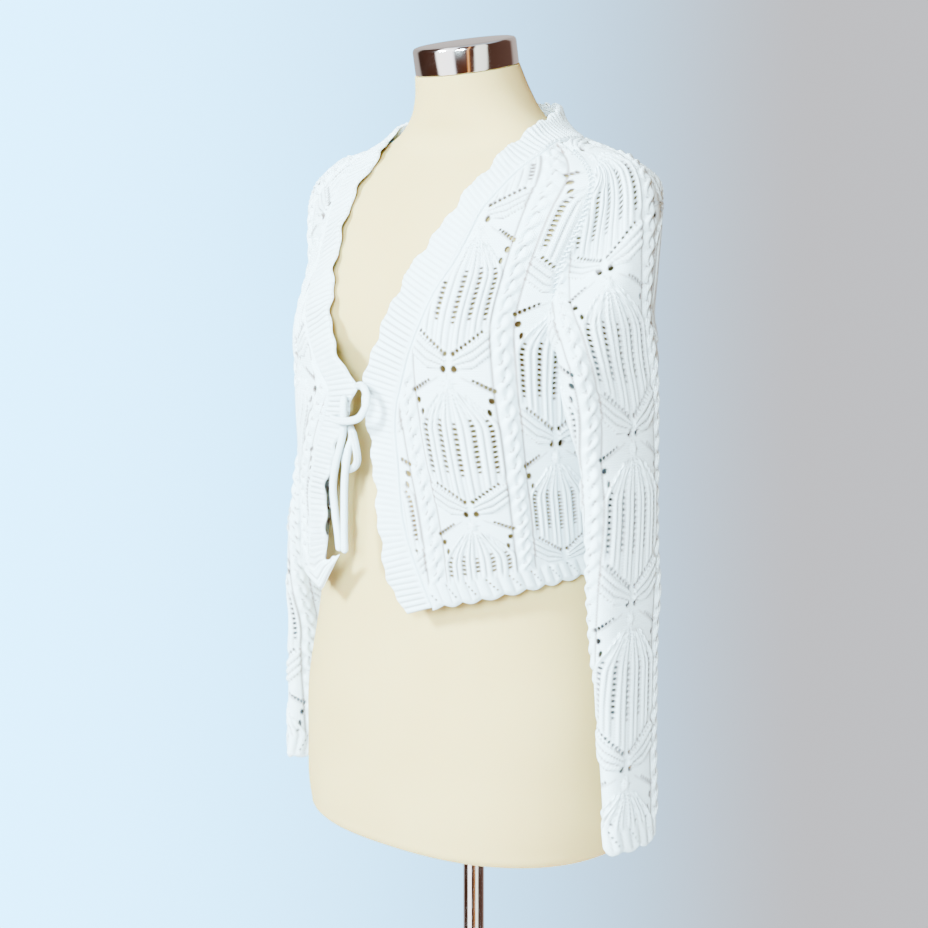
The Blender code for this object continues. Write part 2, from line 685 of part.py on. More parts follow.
def bezier(a, b, c, d, t):
    t = np.asarray(t)[:, None]
    return (1 - t) ** 3 * a + 3 * (1 - t) ** 2 * t * b + 3 * (1 - t) * t**2 * c + t**3 * d


def sleeve_arc(z, front, side):
    """Inner points of half a sleeve row from the outer line to the seam: for a raglan row, given by
    the seam's height, or for a ring below the underarm."""
    toward = -1.0 if front else 1.0
    ring_z = min(z, UNDERARM_Z)
    x, y, thick, depth, right_back = (float(smooth(SLEEVE, "z", c, ring_z))
                                      for c in ("centre_x", "centre_y", "half_thick", "half_depth", "right_back"))
    if z > UNDERARM_Z:
        angle = raglan_angle(z, "front_angle" if front else "back_angle")
        seam, beyond = cloth_point(np.array([angle, angle - 2 * toward]), z)
        tangent = (beyond - seam) / np.linalg.norm(beyond - seam)
        outer = np.array([float(smooth(SHOULDER_LINE, "raglan_z", axis, z)) for axis in "xyz"])
        if side < 0:
            outer[1] += float(smooth(SHOULDER_LINE, "raglan_z", "right_back", z))
        outer[2] = lift(outer[2])
        share = min((z - UNDERARM_Z) / SHOULDER_BLEND, 1.0)
        share = share * share * (3 - 2 * share)
        reach = np.linalg.norm(seam - outer)
        straight = np.array([0, toward, 0])
        fold = 1 + (UNDERARM_FOLD[(front, side > 0)] - 1) * min(4 * share, 1)
        bulge = 4 / 3 * depth * fold * (1 - share)
        first = outer + straight * (bulge + 0.40 * reach * share)
        second = seam + straight * bulge + tangent * 0.38 * reach * share
        return bezier(outer, first, second, seam, np.linspace(0, 1, 61))
    if side < 0:
        y += right_back
    a = np.linspace(0, math.pi, 61)
    cos, sin = np.cos(a), np.sin(a)
    px = x + thick * np.sign(cos) * np.abs(cos) ** (2 / SLEEVE_SQUARE)
    py = y + toward * depth * np.abs(sin) ** (2 / SLEEVE_SQUARE)
    points = np.stack([px, py, np.full_like(px, lift(z))], -1)
    degrees = np.degrees(a) * (1 if front else -1)
    grow = np.zeros_like(a)
    for i in range(len(SLEEVE_FOLDS["z"])):
        near = math.exp(-((z - SLEEVE_FOLDS["z"][i]) / SLEEVE_FOLDS["tall"][i]) ** 2)
        grow += SLEEVE_FOLDS["rise"][i] * near * np.exp(
            -((degrees - SLEEVE_FOLDS["angle"][i]) / SLEEVE_FOLDS["wide"][i]) ** 2)
    points[:, 0] += grow * np.sign(cos) * np.abs(cos) ** 0.5
    points[:, 1] += toward * grow * np.abs(sin)
    return points


def sleeve_rows(side):
    """(key, distance down the outer line) from the neck to the cuff. The key is the raglan seam's height
    above the underarm, and the ring's own height below it."""
    heights, _ = body_heights()
    keys = [z for z in heights[::-1] if z >= UNDERARM_Z]
    below = UNDERARM_Z - SLEEVE["z"][0]
    count = int(round(below / ROW_PITCH))
    keys += [UNDERARM_Z - below * (k + 1) / count for k in range(count)]
    outer = np.array([sleeve_arc(z, True, side)[0] for z in keys])
    run = np.concatenate([[0], np.cumsum(np.linalg.norm(np.diff(outer, axis=0), axis=1))])
    return keys, run


def sleeve_part(side, front_part):
    """The front part reaches from the underarm seam round the front and over the outer line to the
    back cable; the back part fills the rest. u is 0 on the outer line and positive towards the back."""
    keys, run = sleeve_rows(side)
    arcs = {}

    def half(v, front):
        if (v, front) not in arcs:
            points = sleeve_arc(keys[int(np.argmin(np.abs(run - v)))], front, side)
            steps = np.linalg.norm(np.diff(points, axis=0), axis=1)
            arcs[(v, front)] = points, np.concatenate([[0], np.cumsum(steps)])
        return arcs[(v, front)]

    def place(u, v):
        points, arc = half(v, u < 0)
        p = np.array([np.interp(abs(u), arc, points[:, k]) for k in range(3)])
        return np.array([side * p[0], p[1], p[2]])

    def middle(v):
        key = keys[int(np.argmin(np.abs(run - v)))]
        table, column = (SHOULDER_LINE, "raglan_z") if key > UNDERARM_Z else (SLEEVE, "z")
        return float(smooth(table, column, "middle_u", key))

    top = run[-1]
    sheet = Sheet(lambda u, v: place(u + middle(top - v), top - v), SLEEVE_FIRST_HOLE, SLEEVE_MOTIF_HEIGHT)
    for v in run[::-1]:
        front_end = -half(v, True)[1][-1] - middle(v) + SEAM_GAP
        back_end = half(v, False)[1][-1] - middle(v) - SEAM_GAP
        split = min(SLEEVE_SPLIT, 0.5 * back_end)
        left, right = (front_end, split - SEAM_GAP / 2) if front_part else (split + SEAM_GAP / 2, back_end)
        lines = scallop_lines(left, right) if v == top else column_lines(left, right)
        sheet.add_row(top - v, left, right, lines, (front_part, not front_part))
    drop_hem(sheet)
    sheet.cut_holes(hole_centres(sheet))
    return finish_side(sheet, side)


# Bands

def path_length(path):
    points = cloth_point(path[:, 0], path[:, 1])
    return np.concatenate([[0], np.cumsum(np.linalg.norm(np.diff(points, axis=0), axis=1))])


def band(name, side, material, body):
    """Ribbed trim from the front hem up the neckline to the centre back. Every other crosswise rib is
    raised, and its free edge is scalloped and waves in and out."""
    table = LEFT_BAND if side > 0 else RIGHT_BAND
    seam_path, free_path = band_line(side, "seam"), band_line(side, "free")
    run = path_length((seam_path + free_path) / 2)
    count = int(round(run[-1] / SCALLOP_PITCH)) * 4 + 1
    wanted = np.linspace(0, run[-1], count)
    seam = np.stack([np.interp(wanted, run, seam_path[:, k]) for k in range(2)], -1)
    free = np.stack([np.interp(wanted, run, free_path[:, k]) for k in range(2)], -1)
    row = np.interp(wanted, run, np.linspace(0, table["row"][-1], len(run)))
    dip = np.interp(row, table["row"], table["dip"])
    across = 3
    inner, rises, faces = [], [], []
    for i in range(count):
        for j in range(across):
            t = j / (across - 1)
            angle, z = seam[i] * (1 - t) + free[i] * t
            inner.append(cloth_point(angle, z - dip[i] * (1 - abs(2 * t - 1))))
            rises.append(BAND_CLOTH + 0.0008 * (i % 2))
    inner = np.array(inner).reshape(count, across, 3)
    along = np.gradient(inner, axis=0)
    outward = inner[:, -1] - inner[:, 0]
    outward /= np.linalg.norm(outward, axis=1)[:, None]
    waves = np.sin(math.pi * np.arange(count) / 4) ** 2
    inner[:, -1] += outward * (BAND_SCALLOP * waves)[:, None]
    inner[:, 0] += outward * 3 * SEAM_GAP
    normal = np.cross(along, outward[:, None, :])
    normal /= np.linalg.norm(normal, axis=2)[:, :, None]
    flip = np.sign((normal[:, :, :2] * inner[:, :, :2]).sum(axis=2))[:, :, None]
    normal *= np.where(flip == 0, 1, flip)
    ruffle = 0.0016 * np.cos(math.pi * np.arange(count) / 4)
    inner[:, -1] += normal[:, -1] * (0.0016 + ruffle)[:, None]
    inner[-1, :, 0] = SEAM_GAP / 2
    flat_inner = inner.reshape(-1, 3)
    flat_normal = normal.reshape(-1, 3)
    for i in range(count - 1):
        for j in range(across - 1):
            a = i * across + j
            faces.append([a, a + across, a + across + 1, a + 1])
    flat_inner = rest_on(body, flat_inner, faces)
    outer = flat_inner + flat_normal * np.array(rises)[:, None]
    outer[-across:, 0] = SEAM_GAP / 2
    mirror = np.array([side, 1, 1])
    if side < 0:
        faces = [f[::-1] for f in faces]
    return thick_sheet(name, outer * mirror, flat_inner * mirror, faces, material)


# Ties

def smooth_route(points, spacing):
    """Evenly spaced points on a Catmull-Rom curve through a route."""
    p = np.array(points, float)
    p = np.vstack([2 * p[0] - p[1], p, 2 * p[-1] - p[-2]])
    dense = []
    for i in range(1, len(p) - 2):
        t = np.linspace(0, 1, 24, endpoint=False)[:, None]
        dense.append(0.5 * (2 * p[i] + (p[i + 1] - p[i - 1]) * t
                            + (2 * p[i - 1] - 5 * p[i] + 4 * p[i + 1] - p[i + 2]) * t**2
                            + (3 * p[i] - p[i - 1] - 3 * p[i + 1] + p[i + 2]) * t**3))
    dense = np.vstack(dense + [p[-2][None]])
    run = np.concatenate([[0], np.cumsum(np.linalg.norm(np.diff(dense, axis=0), axis=1))])
    wanted = np.linspace(0, run[-1], max(int(round(run[-1] / spacing)), 4) + 1)
    return np.stack([np.interp(wanted, run, dense[:, k]) for k in range(3)], -1)


def cord(name, route, material, radius=TIE_RADIUS):
    """Round cord along a route of (x, distance in front of the axis, z) points in millimetres."""
    world = [(x / 1000, -forward / 1000, lift(z / 1000)) for x, forward, z in route]
    line = smooth_route(world, 2.4 * radius)
    curve = bpy.data.curves.new(name, "CURVE")
    curve.dimensions = "3D"
    curve.bevel_depth = radius
    curve.bevel_resolution = 2
    curve.use_fill_caps = True
    spline = curve.splines.new("POLY")
    spline.points.add(len(line) - 1)
    for point, place in zip(spline.points, line):
        point.co = (*place, 1)
    piece = bpy.data.objects.new(name, curve)
    bpy.context.scene.collection.objects.link(piece)
    curve.materials.append(material)
    return piece


TIE_ROUTES = {
    # from the wearer's right front down behind the wrap to its free end
    "tie_right": [(-11, 152.5, 396), (-9, 156, 388), (-8, 157, 376), (-10, 156, 364), (-14, 155.5, 352),
                  (-20, 155.5, 335), (-22.5, 156, 317), (-20.5, 156, 296), (-17, 156, 275), (-15.3, 156, 261)],
    # from the wearer's left front out in a loop, across the front, round behind and down
    "tie_left": [(4, 152, 405), (14, 156, 406), (23, 160, 400), (25.5, 163, 391), (20, 165, 381), (9, 165, 377),
                 (-4, 165, 376), (-14, 163.5, 376.5), (-18, 157.5, 377), (-15.5, 151.5, 376), (-9, 149, 370), (-5, 150, 360),
                 (-5.5, 154, 350), (-6.8, 156, 335), (-8, 156.5, 319), (-8.6, 156.5, 297), (-8.8, 156.5, 276),
                 (-8.5, 156.5, 260)],
    # the small loop that hangs behind them
    "bow_loop": [(1.5, 157, 369), (3.5, 156, 361), (5, 155, 352), (3, 151.5, 342), (-3, 149, 335), (-12, 148.5, 332),
                 (-16, 148, 338), (-14, 147.5, 350)],
}


# Dress form and stand

def dress_form(material):
    heights = np.concatenate([[-0.009, -0.006, 0.003, 0.030], np.arange(0.075, 0.40, 0.045),
                              np.arange(0.405, 0.56, 0.0225), [0.5625, 0.574, 0.585, 0.596, 0.608, 0.622,
                                                              0.638, 0.656, FORM["z"][-1]]])
    angles = np.arange(0, 360, 11.25)
    rings = [form_point(angles, np.full_like(angles, z)) for z in heights]
    return ringed_solid("form_torso", rings, material)


def neck_cap(material):
    """Chrome collar on the neck, square to the tilted neck top, with a rounded upper edge."""
    profile = ((CAP_RADIUS + 0.0008, 0.0), (CAP_RADIUS + 0.0010, 0.0004), (CAP_RADIUS + 0.0010, CAP_HEIGHT - 0.003),
               (CAP_RADIUS - 0.0005, CAP_HEIGHT - 0.0006), (CAP_RADIUS - 0.004, CAP_HEIGHT),
               (CAP_RADIUS * 0.5, CAP_HEIGHT + 0.0006))
    piece = turned_solid("neck_cap", profile, material, 36)
    tilt = CAP_TILT
    foot = form_point(np.array([0.0, 180.0]), np.array([FORM["z"][-1]] * 2)).mean(axis=0)
    piece.location = (0, float(foot[1]) - math.sin(tilt) * MATING_GAP, float(foot[2]) + MATING_GAP)
    piece.rotation_euler = (tilt, 0, 0)
    return piece


def stand(chrome):
    top = lift(FORM["z"][0]) - MATING_GAP
    plate_top = BASE_THICK + BASE_DOME
    turned_solid("base_plate", ((BASE_RADIUS - 0.002, 0.0), (BASE_RADIUS, 0.002), (BASE_RADIUS, BASE_THICK - 0.003),
                                (BASE_RADIUS - 0.004, BASE_THICK), (0.055, plate_top - 0.002), (0.028, plate_top)),
                 chrome, 40)
    turned_solid("stand_tube", ((SLEEVE_TUBE_RADIUS + 0.006, plate_top + MATING_GAP),
                                (SLEEVE_TUBE_RADIUS + 0.006, plate_top + 0.018),
                                (SLEEVE_TUBE_RADIUS, plate_top + 0.024),
                                (SLEEVE_TUBE_RADIUS, SLEEVE_TUBE_TOP - 0.030),
                                (SLEEVE_TUBE_RADIUS + 0.003, SLEEVE_TUBE_TOP - 0.027),
                                (SLEEVE_TUBE_RADIUS + 0.003, SLEEVE_TUBE_TOP)), chrome, 24)
    turned_solid("stand_pole", ((POLE_RADIUS, SLEEVE_TUBE_TOP + MATING_GAP), (POLE_RADIUS, top - 0.006),
                                (0.034, top - 0.005), (0.034, top)), chrome, 24)


def main():
    clear_scene()
    cotton = make_material("white_cotton_knit", (0.86, 0.87, 0.87), 0.85)
    jersey = make_material("cream_jersey", (0.80, 0.74, 0.61), 0.75)
    chrome = make_material("polished_chrome", (0.80, 0.80, 0.80), 0.08, 1.0)
    form = dress_form(jersey)
    neck_cap(chrome)
    stand(chrome)
    bpy.context.view_layer.update()
    body = BVHTree.FromObject(form, bpy.context.evaluated_depsgraph_get())
    sheets = {"front_left": front_panel(1), "front_right": front_panel(-1), "back": back_panel()}
    for side, word in ((1, "left"), (-1, "right")):
        sheets[f"sleeve_{word}_front"] = sleeve_part(side, True)
        sheets[f"sleeve_{word}_back"] = sleeve_part(side, False)
        band(f"band_{word}", side, cotton, body)
    for sheet in sheets.values():
        sheet.settle(body)
    share_seams(list(sheets.values()))
    for name, sheet in sheets.items():
        sheet.build(name, cotton)
    for name, route in TIE_ROUTES.items():
        cord(name, route, cotton)


main()
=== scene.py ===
import math

import bpy
import numpy as np
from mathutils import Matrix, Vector
from mathutils.bvhtree import BVHTree
from mathutils.geometry import delaunay_2d_cdt


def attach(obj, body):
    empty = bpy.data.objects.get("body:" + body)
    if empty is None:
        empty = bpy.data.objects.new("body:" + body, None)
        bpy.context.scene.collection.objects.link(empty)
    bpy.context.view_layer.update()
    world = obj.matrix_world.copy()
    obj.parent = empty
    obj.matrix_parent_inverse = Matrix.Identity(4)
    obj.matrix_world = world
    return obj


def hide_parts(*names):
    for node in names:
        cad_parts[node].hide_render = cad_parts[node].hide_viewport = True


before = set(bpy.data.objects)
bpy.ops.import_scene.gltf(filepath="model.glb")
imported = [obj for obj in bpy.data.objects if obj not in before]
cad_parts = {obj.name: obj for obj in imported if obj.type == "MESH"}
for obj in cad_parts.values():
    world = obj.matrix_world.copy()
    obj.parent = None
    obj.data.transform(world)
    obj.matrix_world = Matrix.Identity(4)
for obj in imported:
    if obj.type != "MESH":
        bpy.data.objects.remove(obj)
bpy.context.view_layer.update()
scene = bpy.context.scene
print("frame loaded")

# Shape tables, as in the solid model: z is a height over the torso's underside, and angles are degrees
# from the front

def rows(names, *values):
    columns = np.array(values, float).T
    table = dict(zip(names.split(), columns))
    table["row"] = np.arange(len(values), dtype=float)
    return table


formTable = rows(
    "z half_width front back square centre_y",
    (-0.009, 0.1590, 0.117, 0.117, 2.40, 0.000),
    (-0.006, 0.1620, 0.120, 0.120, 2.40, 0.000),
    (0.003, 0.1640, 0.122, 0.122, 2.40, 0.000),
    (0.065, 0.1660, 0.124, 0.126, 2.40, 0.000),
    (0.110, 0.1655, 0.123, 0.127, 2.40, 0.000),
    (0.180, 0.1560, 0.116, 0.120, 2.30, 0.000),
    (0.250, 0.1460, 0.112, 0.106, 2.20, 0.000),
    (0.300, 0.1405, 0.110, 0.098, 2.15, 0.000),
    (0.350, 0.1390, 0.108, 0.096, 2.15, 0.000),
    (0.400, 0.1400, 0.109, 0.097, 2.20, 0.000),
    (0.450, 0.1450, 0.110, 0.101, 2.25, 0.000),
    (0.500, 0.1560, 0.104, 0.106, 2.35, 0.000),
    (0.535, 0.1690, 0.093, 0.107, 2.45, 0.000),
    (0.560, 0.1750, 0.080, 0.104, 2.45, 0.000),
    (0.578, 0.1700, 0.068, 0.098, 2.40, 0.002),
    (0.592, 0.1460, 0.058, 0.089, 2.30, 0.004),
    (0.603, 0.1150, 0.051, 0.080, 2.20, 0.006),
    (0.616, 0.0860, 0.048, 0.069, 2.10, 0.005),
    (0.632, 0.0655, 0.048, 0.059, 2.00, 0.001),
    (0.652, 0.0525, 0.047, 0.053, 2.00, -0.004),
    (0.6735, 0.0460, 0.0460, 0.0465, 2.00, -0.0095),
)

drapeTable = rows(
    "z half_width front back square",
    (0.200, 0.1520, 0.139, 0.122, 2.45),
    (0.300, 0.1500, 0.141, 0.116, 2.45),
    (0.400, 0.1530, 0.143, 0.112, 2.50),
    (0.450, 0.1560, 0.139, 0.112, 2.50),
    (0.500, 0.1580, 0.110, 0.111, 2.45),
    (0.550, 0.1600, 0.070, 0.100, 2.40),
    (0.600, 0.1000, 0.040, 0.085, 2.20),
    (0.635, 0.0740, 0.030, 0.075, 2.00),
    (0.660, 0.0700, 0.030, 0.071, 2.00),
)

easeTable = rows("z ease", (0.2, 0.0040), (0.50, 0.0036), (0.56, 0.0040), (0.60, 0.0050), (0.63, 0.0050),
                 (0.66, 0.0050))

# Both bands end in these rows, from the shoulder to the back of the neck
bandColumns = "free_angle free_z seam_angle seam_z"
backNeck = (
    (79.0, 0.6210, 79.5, 0.6072),
    (92.0, 0.6274, 92.0, 0.6102),
    (107.6, 0.6331, 107.0, 0.6108),
    (125.0, 0.6385, 125.0, 0.6110),
    (150.0, 0.6430, 150.0, 0.6110),
    (180.0, 0.6445, 180.0, 0.6110),
)

leftBand = rows(
    bandColumns,
    (19.0, 0.2120, 28.5, 0.2205),
    (13.2, 0.2320, 25.2, 0.2405),
    (9.8, 0.2580, 21.0, 0.2670),
    (7.6, 0.2980, 17.8, 0.2980),
    (6.2, 0.3420, 16.6, 0.3400),
    (4.0, 0.3740, 15.7, 0.3710),
    (1.5, 0.3970, 16.2, 0.3910),
    (1.7, 0.4080, 17.2, 0.4010),
    (5.6, 0.4280, 19.0, 0.4180),
    (9.0, 0.4560, 22.0, 0.4430),
    (14.0, 0.4960, 28.0, 0.4820),
    (22.5, 0.5230, 35.0, 0.5090),
    (31.0, 0.5450, 40.5, 0.5320),
    (38.1, 0.5650, 45.0, 0.5500),
    (44.6, 0.5770, 50.5, 0.5640),
    (53.5, 0.5945, 58.0, 0.5805),
    (60.0, 0.6035, 65.0, 0.5920),
    (67.5, 0.6120, 72.0, 0.6000),
    *backNeck,
)

rightBand = rows(
    bandColumns,
    (13.3, 0.2535, 36.0, 0.2252),
    (21.8, 0.2460, 34.5, 0.2360),
    (20.8, 0.2600, 33.0, 0.2520),
    (19.8, 0.2780, 31.5, 0.2730),
    (20.4, 0.3050, 31.5, 0.3030),
    (15.7, 0.3316, 27.0, 0.3320),
    (10.6, 0.3580, 22.0, 0.3590),
    (5.0, 0.3840, 17.5, 0.3820),
    (2.2, 0.3990, 16.6, 0.3940),
    (3.4, 0.4070, 17.2, 0.4010),
    (7.8, 0.4180, 20.5, 0.4100),
    (12.5, 0.4350, 24.5, 0.4240),
    (18.0, 0.4550, 29.5, 0.4420),
    (24.5, 0.4852, 37.0, 0.4720),
    (30.5, 0.5078, 42.0, 0.4950),
    (35.0, 0.5267, 46.0, 0.5140),
    (39.5, 0.5487, 49.5, 0.5370),
    (43.5, 0.5651, 52.5, 0.5540),
    (48.8, 0.5852, 57.0, 0.5730),
    (56.0, 0.5995, 63.5, 0.5885),
    (65.0, 0.6100, 71.0, 0.5990),
    *backNeck,
)

raglanTable = rows(
    "z front_angle back_angle",
    (0.430, 89.5, 90.5),
    (0.445, 73.0, 104.0),
    (0.465, 66.5, 111.0),
    (0.490, 67.0, 114.0),
    (0.520, 70.2, 114.5),
    (0.545, 73.6, 112.0),
    (0.568, 76.2, 108.5),
    (0.588, 78.6, 105.5),
    (0.6072, 82.5, 102.0),
)

columnTable = rows(
    "z cable_1 lace_1 cable_2 lace_2",
    (0.209, 32.0, 44.5, 59.0, 72.0),
    (0.300, 27.5, 40.9, 56.5, 69.5),
    (0.360, 23.0, 37.0, 54.0, 67.5),
    (0.418, 19.5, 34.2, 51.0, 66.5),
    (0.460, 18.5, 35.5, 50.0, 68.0),
    (0.500, 19.5, 39.5, 54.5, 73.0),
    (0.548, 22.0, 46.3, 61.5, 80.0),
    (0.610, 22.0, 57.0, 76.0, 94.0),
)

hemTable = rows("angle z", (0.0, 0.2090), (18.0, 0.2130), (28.0, 0.2205), (44.0, 0.2300), (60.0, 0.2385),
                (75.0, 0.2440), (180.0, 0.2440))

shoulderTable = rows(
    "raglan_z x y z right_back middle_u",
    (0.430, 0.2085, -0.0410, 0.4300, 0.0600, -0.010),
    (0.455, 0.2065, -0.0340, 0.4680, 0.0480, -0.022),
    (0.485, 0.2030, -0.0230, 0.5120, 0.0320, -0.034),
    (0.515, 0.1970, -0.0120, 0.5480, 0.0160, -0.038),
    (0.545, 0.1850, -0.0040, 0.5780, 0.0060, -0.036),
    (0.575, 0.1560, 0.0030, 0.5975, 0.0000, -0.028),
    (0.6072, 0.1085, 0.0050, 0.6088, 0.0000, -0.015),
)

sleeveTable = rows(
    "z centre_x centre_y half_thick half_depth right_back middle_u",
    (0.016, 0.2010, -0.0254, 0.0100, 0.0300, 0.0069, -0.018),
    (0.060, 0.2010, -0.0277, 0.0115, 0.0310, 0.0116, -0.017),
    (0.130, 0.2000, -0.0308, 0.0130, 0.0342, 0.0188, -0.014),
    (0.240, 0.1975, -0.0343, 0.0150, 0.0395, 0.0278, -0.007),
    (0.330, 0.1945, -0.0358, 0.0170, 0.0427, 0.0490, -0.001),
    (0.400, 0.1890, -0.0384, 0.0190, 0.0513, 0.0570, -0.003),
    (0.430, 0.1875, -0.0410, 0.0210, 0.0580, 0.0600, -0.010),
)

foldTable = rows(
    "z angle rise tall wide",
    (0.395, 100.0, 0.0040, 0.030, 40.0),
    (0.350, 60.0, -0.0030, 0.022, 50.0),
    (0.300, 110.0, 0.0020, 0.028, 45.0),
    (0.235, -70.0, 0.0020, 0.024, 50.0),
    (0.150, 80.0, -0.0020, 0.026, 45.0),
    (0.050, -30.0, 0.0020, 0.030, 35.0),
)


# Colour and node helpers

# An sRGB hex colour as linear RGBA
def srgb(hexText):
    values = [int(hexText[i:i + 2], 16) / 255 for i in (1, 3, 5)]
    return (*[c / 12.92 if c <= 0.04045 else ((c + 0.055) / 1.055) ** 2.4 for c in values], 1.0)


# Sets a node's inputs, each to a value or to what feeds it; a node stands for its first output
def feed(tree, node, inputs):
    for key, value in inputs.items():
        if isinstance(value, bpy.types.Node):
            value = value.outputs[0]
        if isinstance(value, bpy.types.NodeSocket):
            tree.links.new(value, node.inputs[key])
        else:
            node.inputs[key].default_value = value


def addNode(tree, kind, inputs=None, **settings):
    node = tree.nodes.new(kind)
    for key, value in settings.items():
        setattr(node, key, value)
    feed(tree, node, inputs or {})
    return node


# A material, its node tree, its shader and its object coordinates
def newMaterial(name):
    material = bpy.data.materials.new(name)
    material.use_nodes = True
    tree = material.node_tree
    tree.nodes.clear()
    shader = addNode(tree, "ShaderNodeBsdfPrincipled")
    addNode(tree, "ShaderNodeOutputMaterial", {"Surface": shader.outputs[0]})
    return material, tree, shader, addNode(tree, "ShaderNodeTexCoord").outputs["Object"]


# Surfaces of the form and the cloth, worked out as in the solid model, and the flat cloth laid over them

formPiece = {"underarmZ": 0.430, "floorToTorso": 0.655, "neckFoot": 0.622, "capTilt": 10.8,
             "capRadius": 0.0450, "capHeight": 0.024}

bust = {"angle": 33.0, "spread": 21.0, "z": 0.452, "above": 0.052, "below": 0.034, "rise": 0.027}

drape = {"profileAngle": 50.0, "easing": 0.004, "hemTuck": 0.12}

sleevePiece = {"square": 2.3, "blend": 0.075, "drawnIn": 0.0018, "halfRow": 61,
               "fold": {(True, True): 1.0, (False, True): 0.45, (True, False): 0.10, (False, False): 0.80}}


def hermite(t, low, high, lowSlope, highSlope, step=1.0):
    return ((2 * t**3 - 3 * t**2 + 1) * low + (t**3 - 2 * t**2 + t) * step * lowSlope
            + (3 * t**2 - 2 * t**3) * high + (t**3 - t**2) * step * highSlope)


# Smooth curve through a table's points, held flat past its ends
def smooth(table, key, column, at):
    x, y = table[key], table[column]
    at = np.clip(np.asarray(at, float), x[0], x[-1])
    slope = np.gradient(y, x)
    i = np.clip(np.searchsorted(x, at, side="right") - 1, 0, len(x) - 2)
    step = x[i + 1] - x[i]
    return hermite((at - x[i]) / step, y[i], y[i + 1], slope[i], slope[i + 1], step)


def step01(x, low, high):
    t = np.clip((x - low) / (high - low), 0, 1)
    return t * t * (3 - 2 * t)


# Length of a line from its start to each of its points
def runAlong(points):
    return np.concatenate([[0], np.cumsum(np.linalg.norm(np.diff(points, axis=0), axis=1))])


# Degrees from straight ahead, to either side
def fromFront(angle):
    return np.abs((np.asarray(angle, float) + 180) % 360 - 180)


def sectionRadius(table, angle, z):
    a = np.radians(angle)
    square = smooth(table, "z", "square", z)
    depth = np.where(np.cos(a) > 0, smooth(table, "z", "front", z), smooth(table, "z", "back", z))
    halfWidth = smooth(table, "z", "half_width", z)
    total = (np.abs(np.sin(a)) / halfWidth) ** square + (np.abs(np.cos(a)) / depth) ** square
    return total ** (-1 / square)


def bustRise(angle, z):
    reach = np.where(np.asarray(z) > bust["z"], bust["above"], bust["below"])
    across = np.exp(-((fromFront(angle) - bust["angle"]) / bust["spread"]) ** 2)
    return bust["rise"] * across * np.exp(-((np.asarray(z) - bust["z"]) / reach) ** 2)


def formRadius(angle, z):
    return sectionRadius(formTable, angle, z) + bustRise(angle, z)


def clothRadius(angle, z):
    hanging = sectionRadius(drapeTable, angle, z)
    resting = formRadius(angle, z) + smooth(easeTable, "z", "ease", z)
    return (hanging + resting + np.sqrt((hanging - resting) ** 2 + drape["easing"]**2)) / 2


def lift(z):
    return z + formPiece["floorToTorso"]


def onRound(radius, angle, z):
    a = np.radians(angle)
    y = smooth(formTable, "z", "centre_y", z) - radius * np.cos(a)
    return np.stack(np.broadcast_arrays(radius * np.sin(a), y, lift(z)), -1)


# The neck leans back towards its tilted cap
def formPoint(angle, z):
    p = onRound(formRadius(angle, z), angle, z)
    neckTop = formTable["z"][-1]
    share = np.clip((np.asarray(z) - formPiece["neckFoot"]) / (neckTop - formPiece["neckFoot"]), 0, 1)
    ahead = p[..., 1] - smooth(formTable, "z", "centre_y", z)
    p[..., 2] += share * math.tan(math.radians(formPiece["capTilt"])) * ahead
    return p


def clothPoint(angle, z):
    return onRound(clothRadius(angle, z), angle, z)


hemZ, topZ = float(hemTable["z"][0]), float(raglanTable["z"][-1])


# The hem rises towards the sides, and takes the cloth over it along
def raisedZ(angle, z):
    rise = smooth(hemTable, "angle", "z", fromFront(angle)) - hemZ
    return z + rise * np.clip(1 - (z - hemZ) / drape["hemTuck"], 0, 1)


def bandLine(side, edge):
    table = leftBand if side > 0 else rightBand
    row = np.linspace(0, table["row"][-1], 500)
    return np.stack([smooth(table, "row", f"{edge}_{column}", row) for column in ("angle", "z")], -1)


def seamAngle(z, side):
    seam = bandLine(side, "seam")
    angle = 30.0
    for _ in range(4):
        angle = float(np.interp(float(raisedZ(angle, z)), seam[:, 1], seam[:, 0]))
    return angle


def arcTable(start, end, z):
    angles = np.linspace(start, end, 181)
    return angles, runAlong(clothPoint(angles, z))


# (angles, u) round a front at a height; u is 0 up the first lace panel's middle
def frontRow(z, side):
    angles, run = arcTable(0.0, 100.0, z)
    seam, otherSeam = seamAngle(z, side), seamAngle(z, 1)
    known = np.array([float(smooth(columnTable, "z", column, z))
                      for column in ("cable_1", "lace_1", "cable_2", "lace_2")])
    known += (seam - otherSeam) * np.clip((90 - known) / (90 - otherSeam), 0, 1)
    knownRun = np.interp(known, angles, run)
    knownU = np.arange(-1, 3) * knit["motifWidth"] / 2
    u = np.interp(run, knownRun, knownU)
    u = np.where(run < knownRun[0], knownU[0] - (knownRun[0] - run), u)
    return angles, np.where(run > knownRun[-1], knownU[-1] + run - knownRun[-1], u)


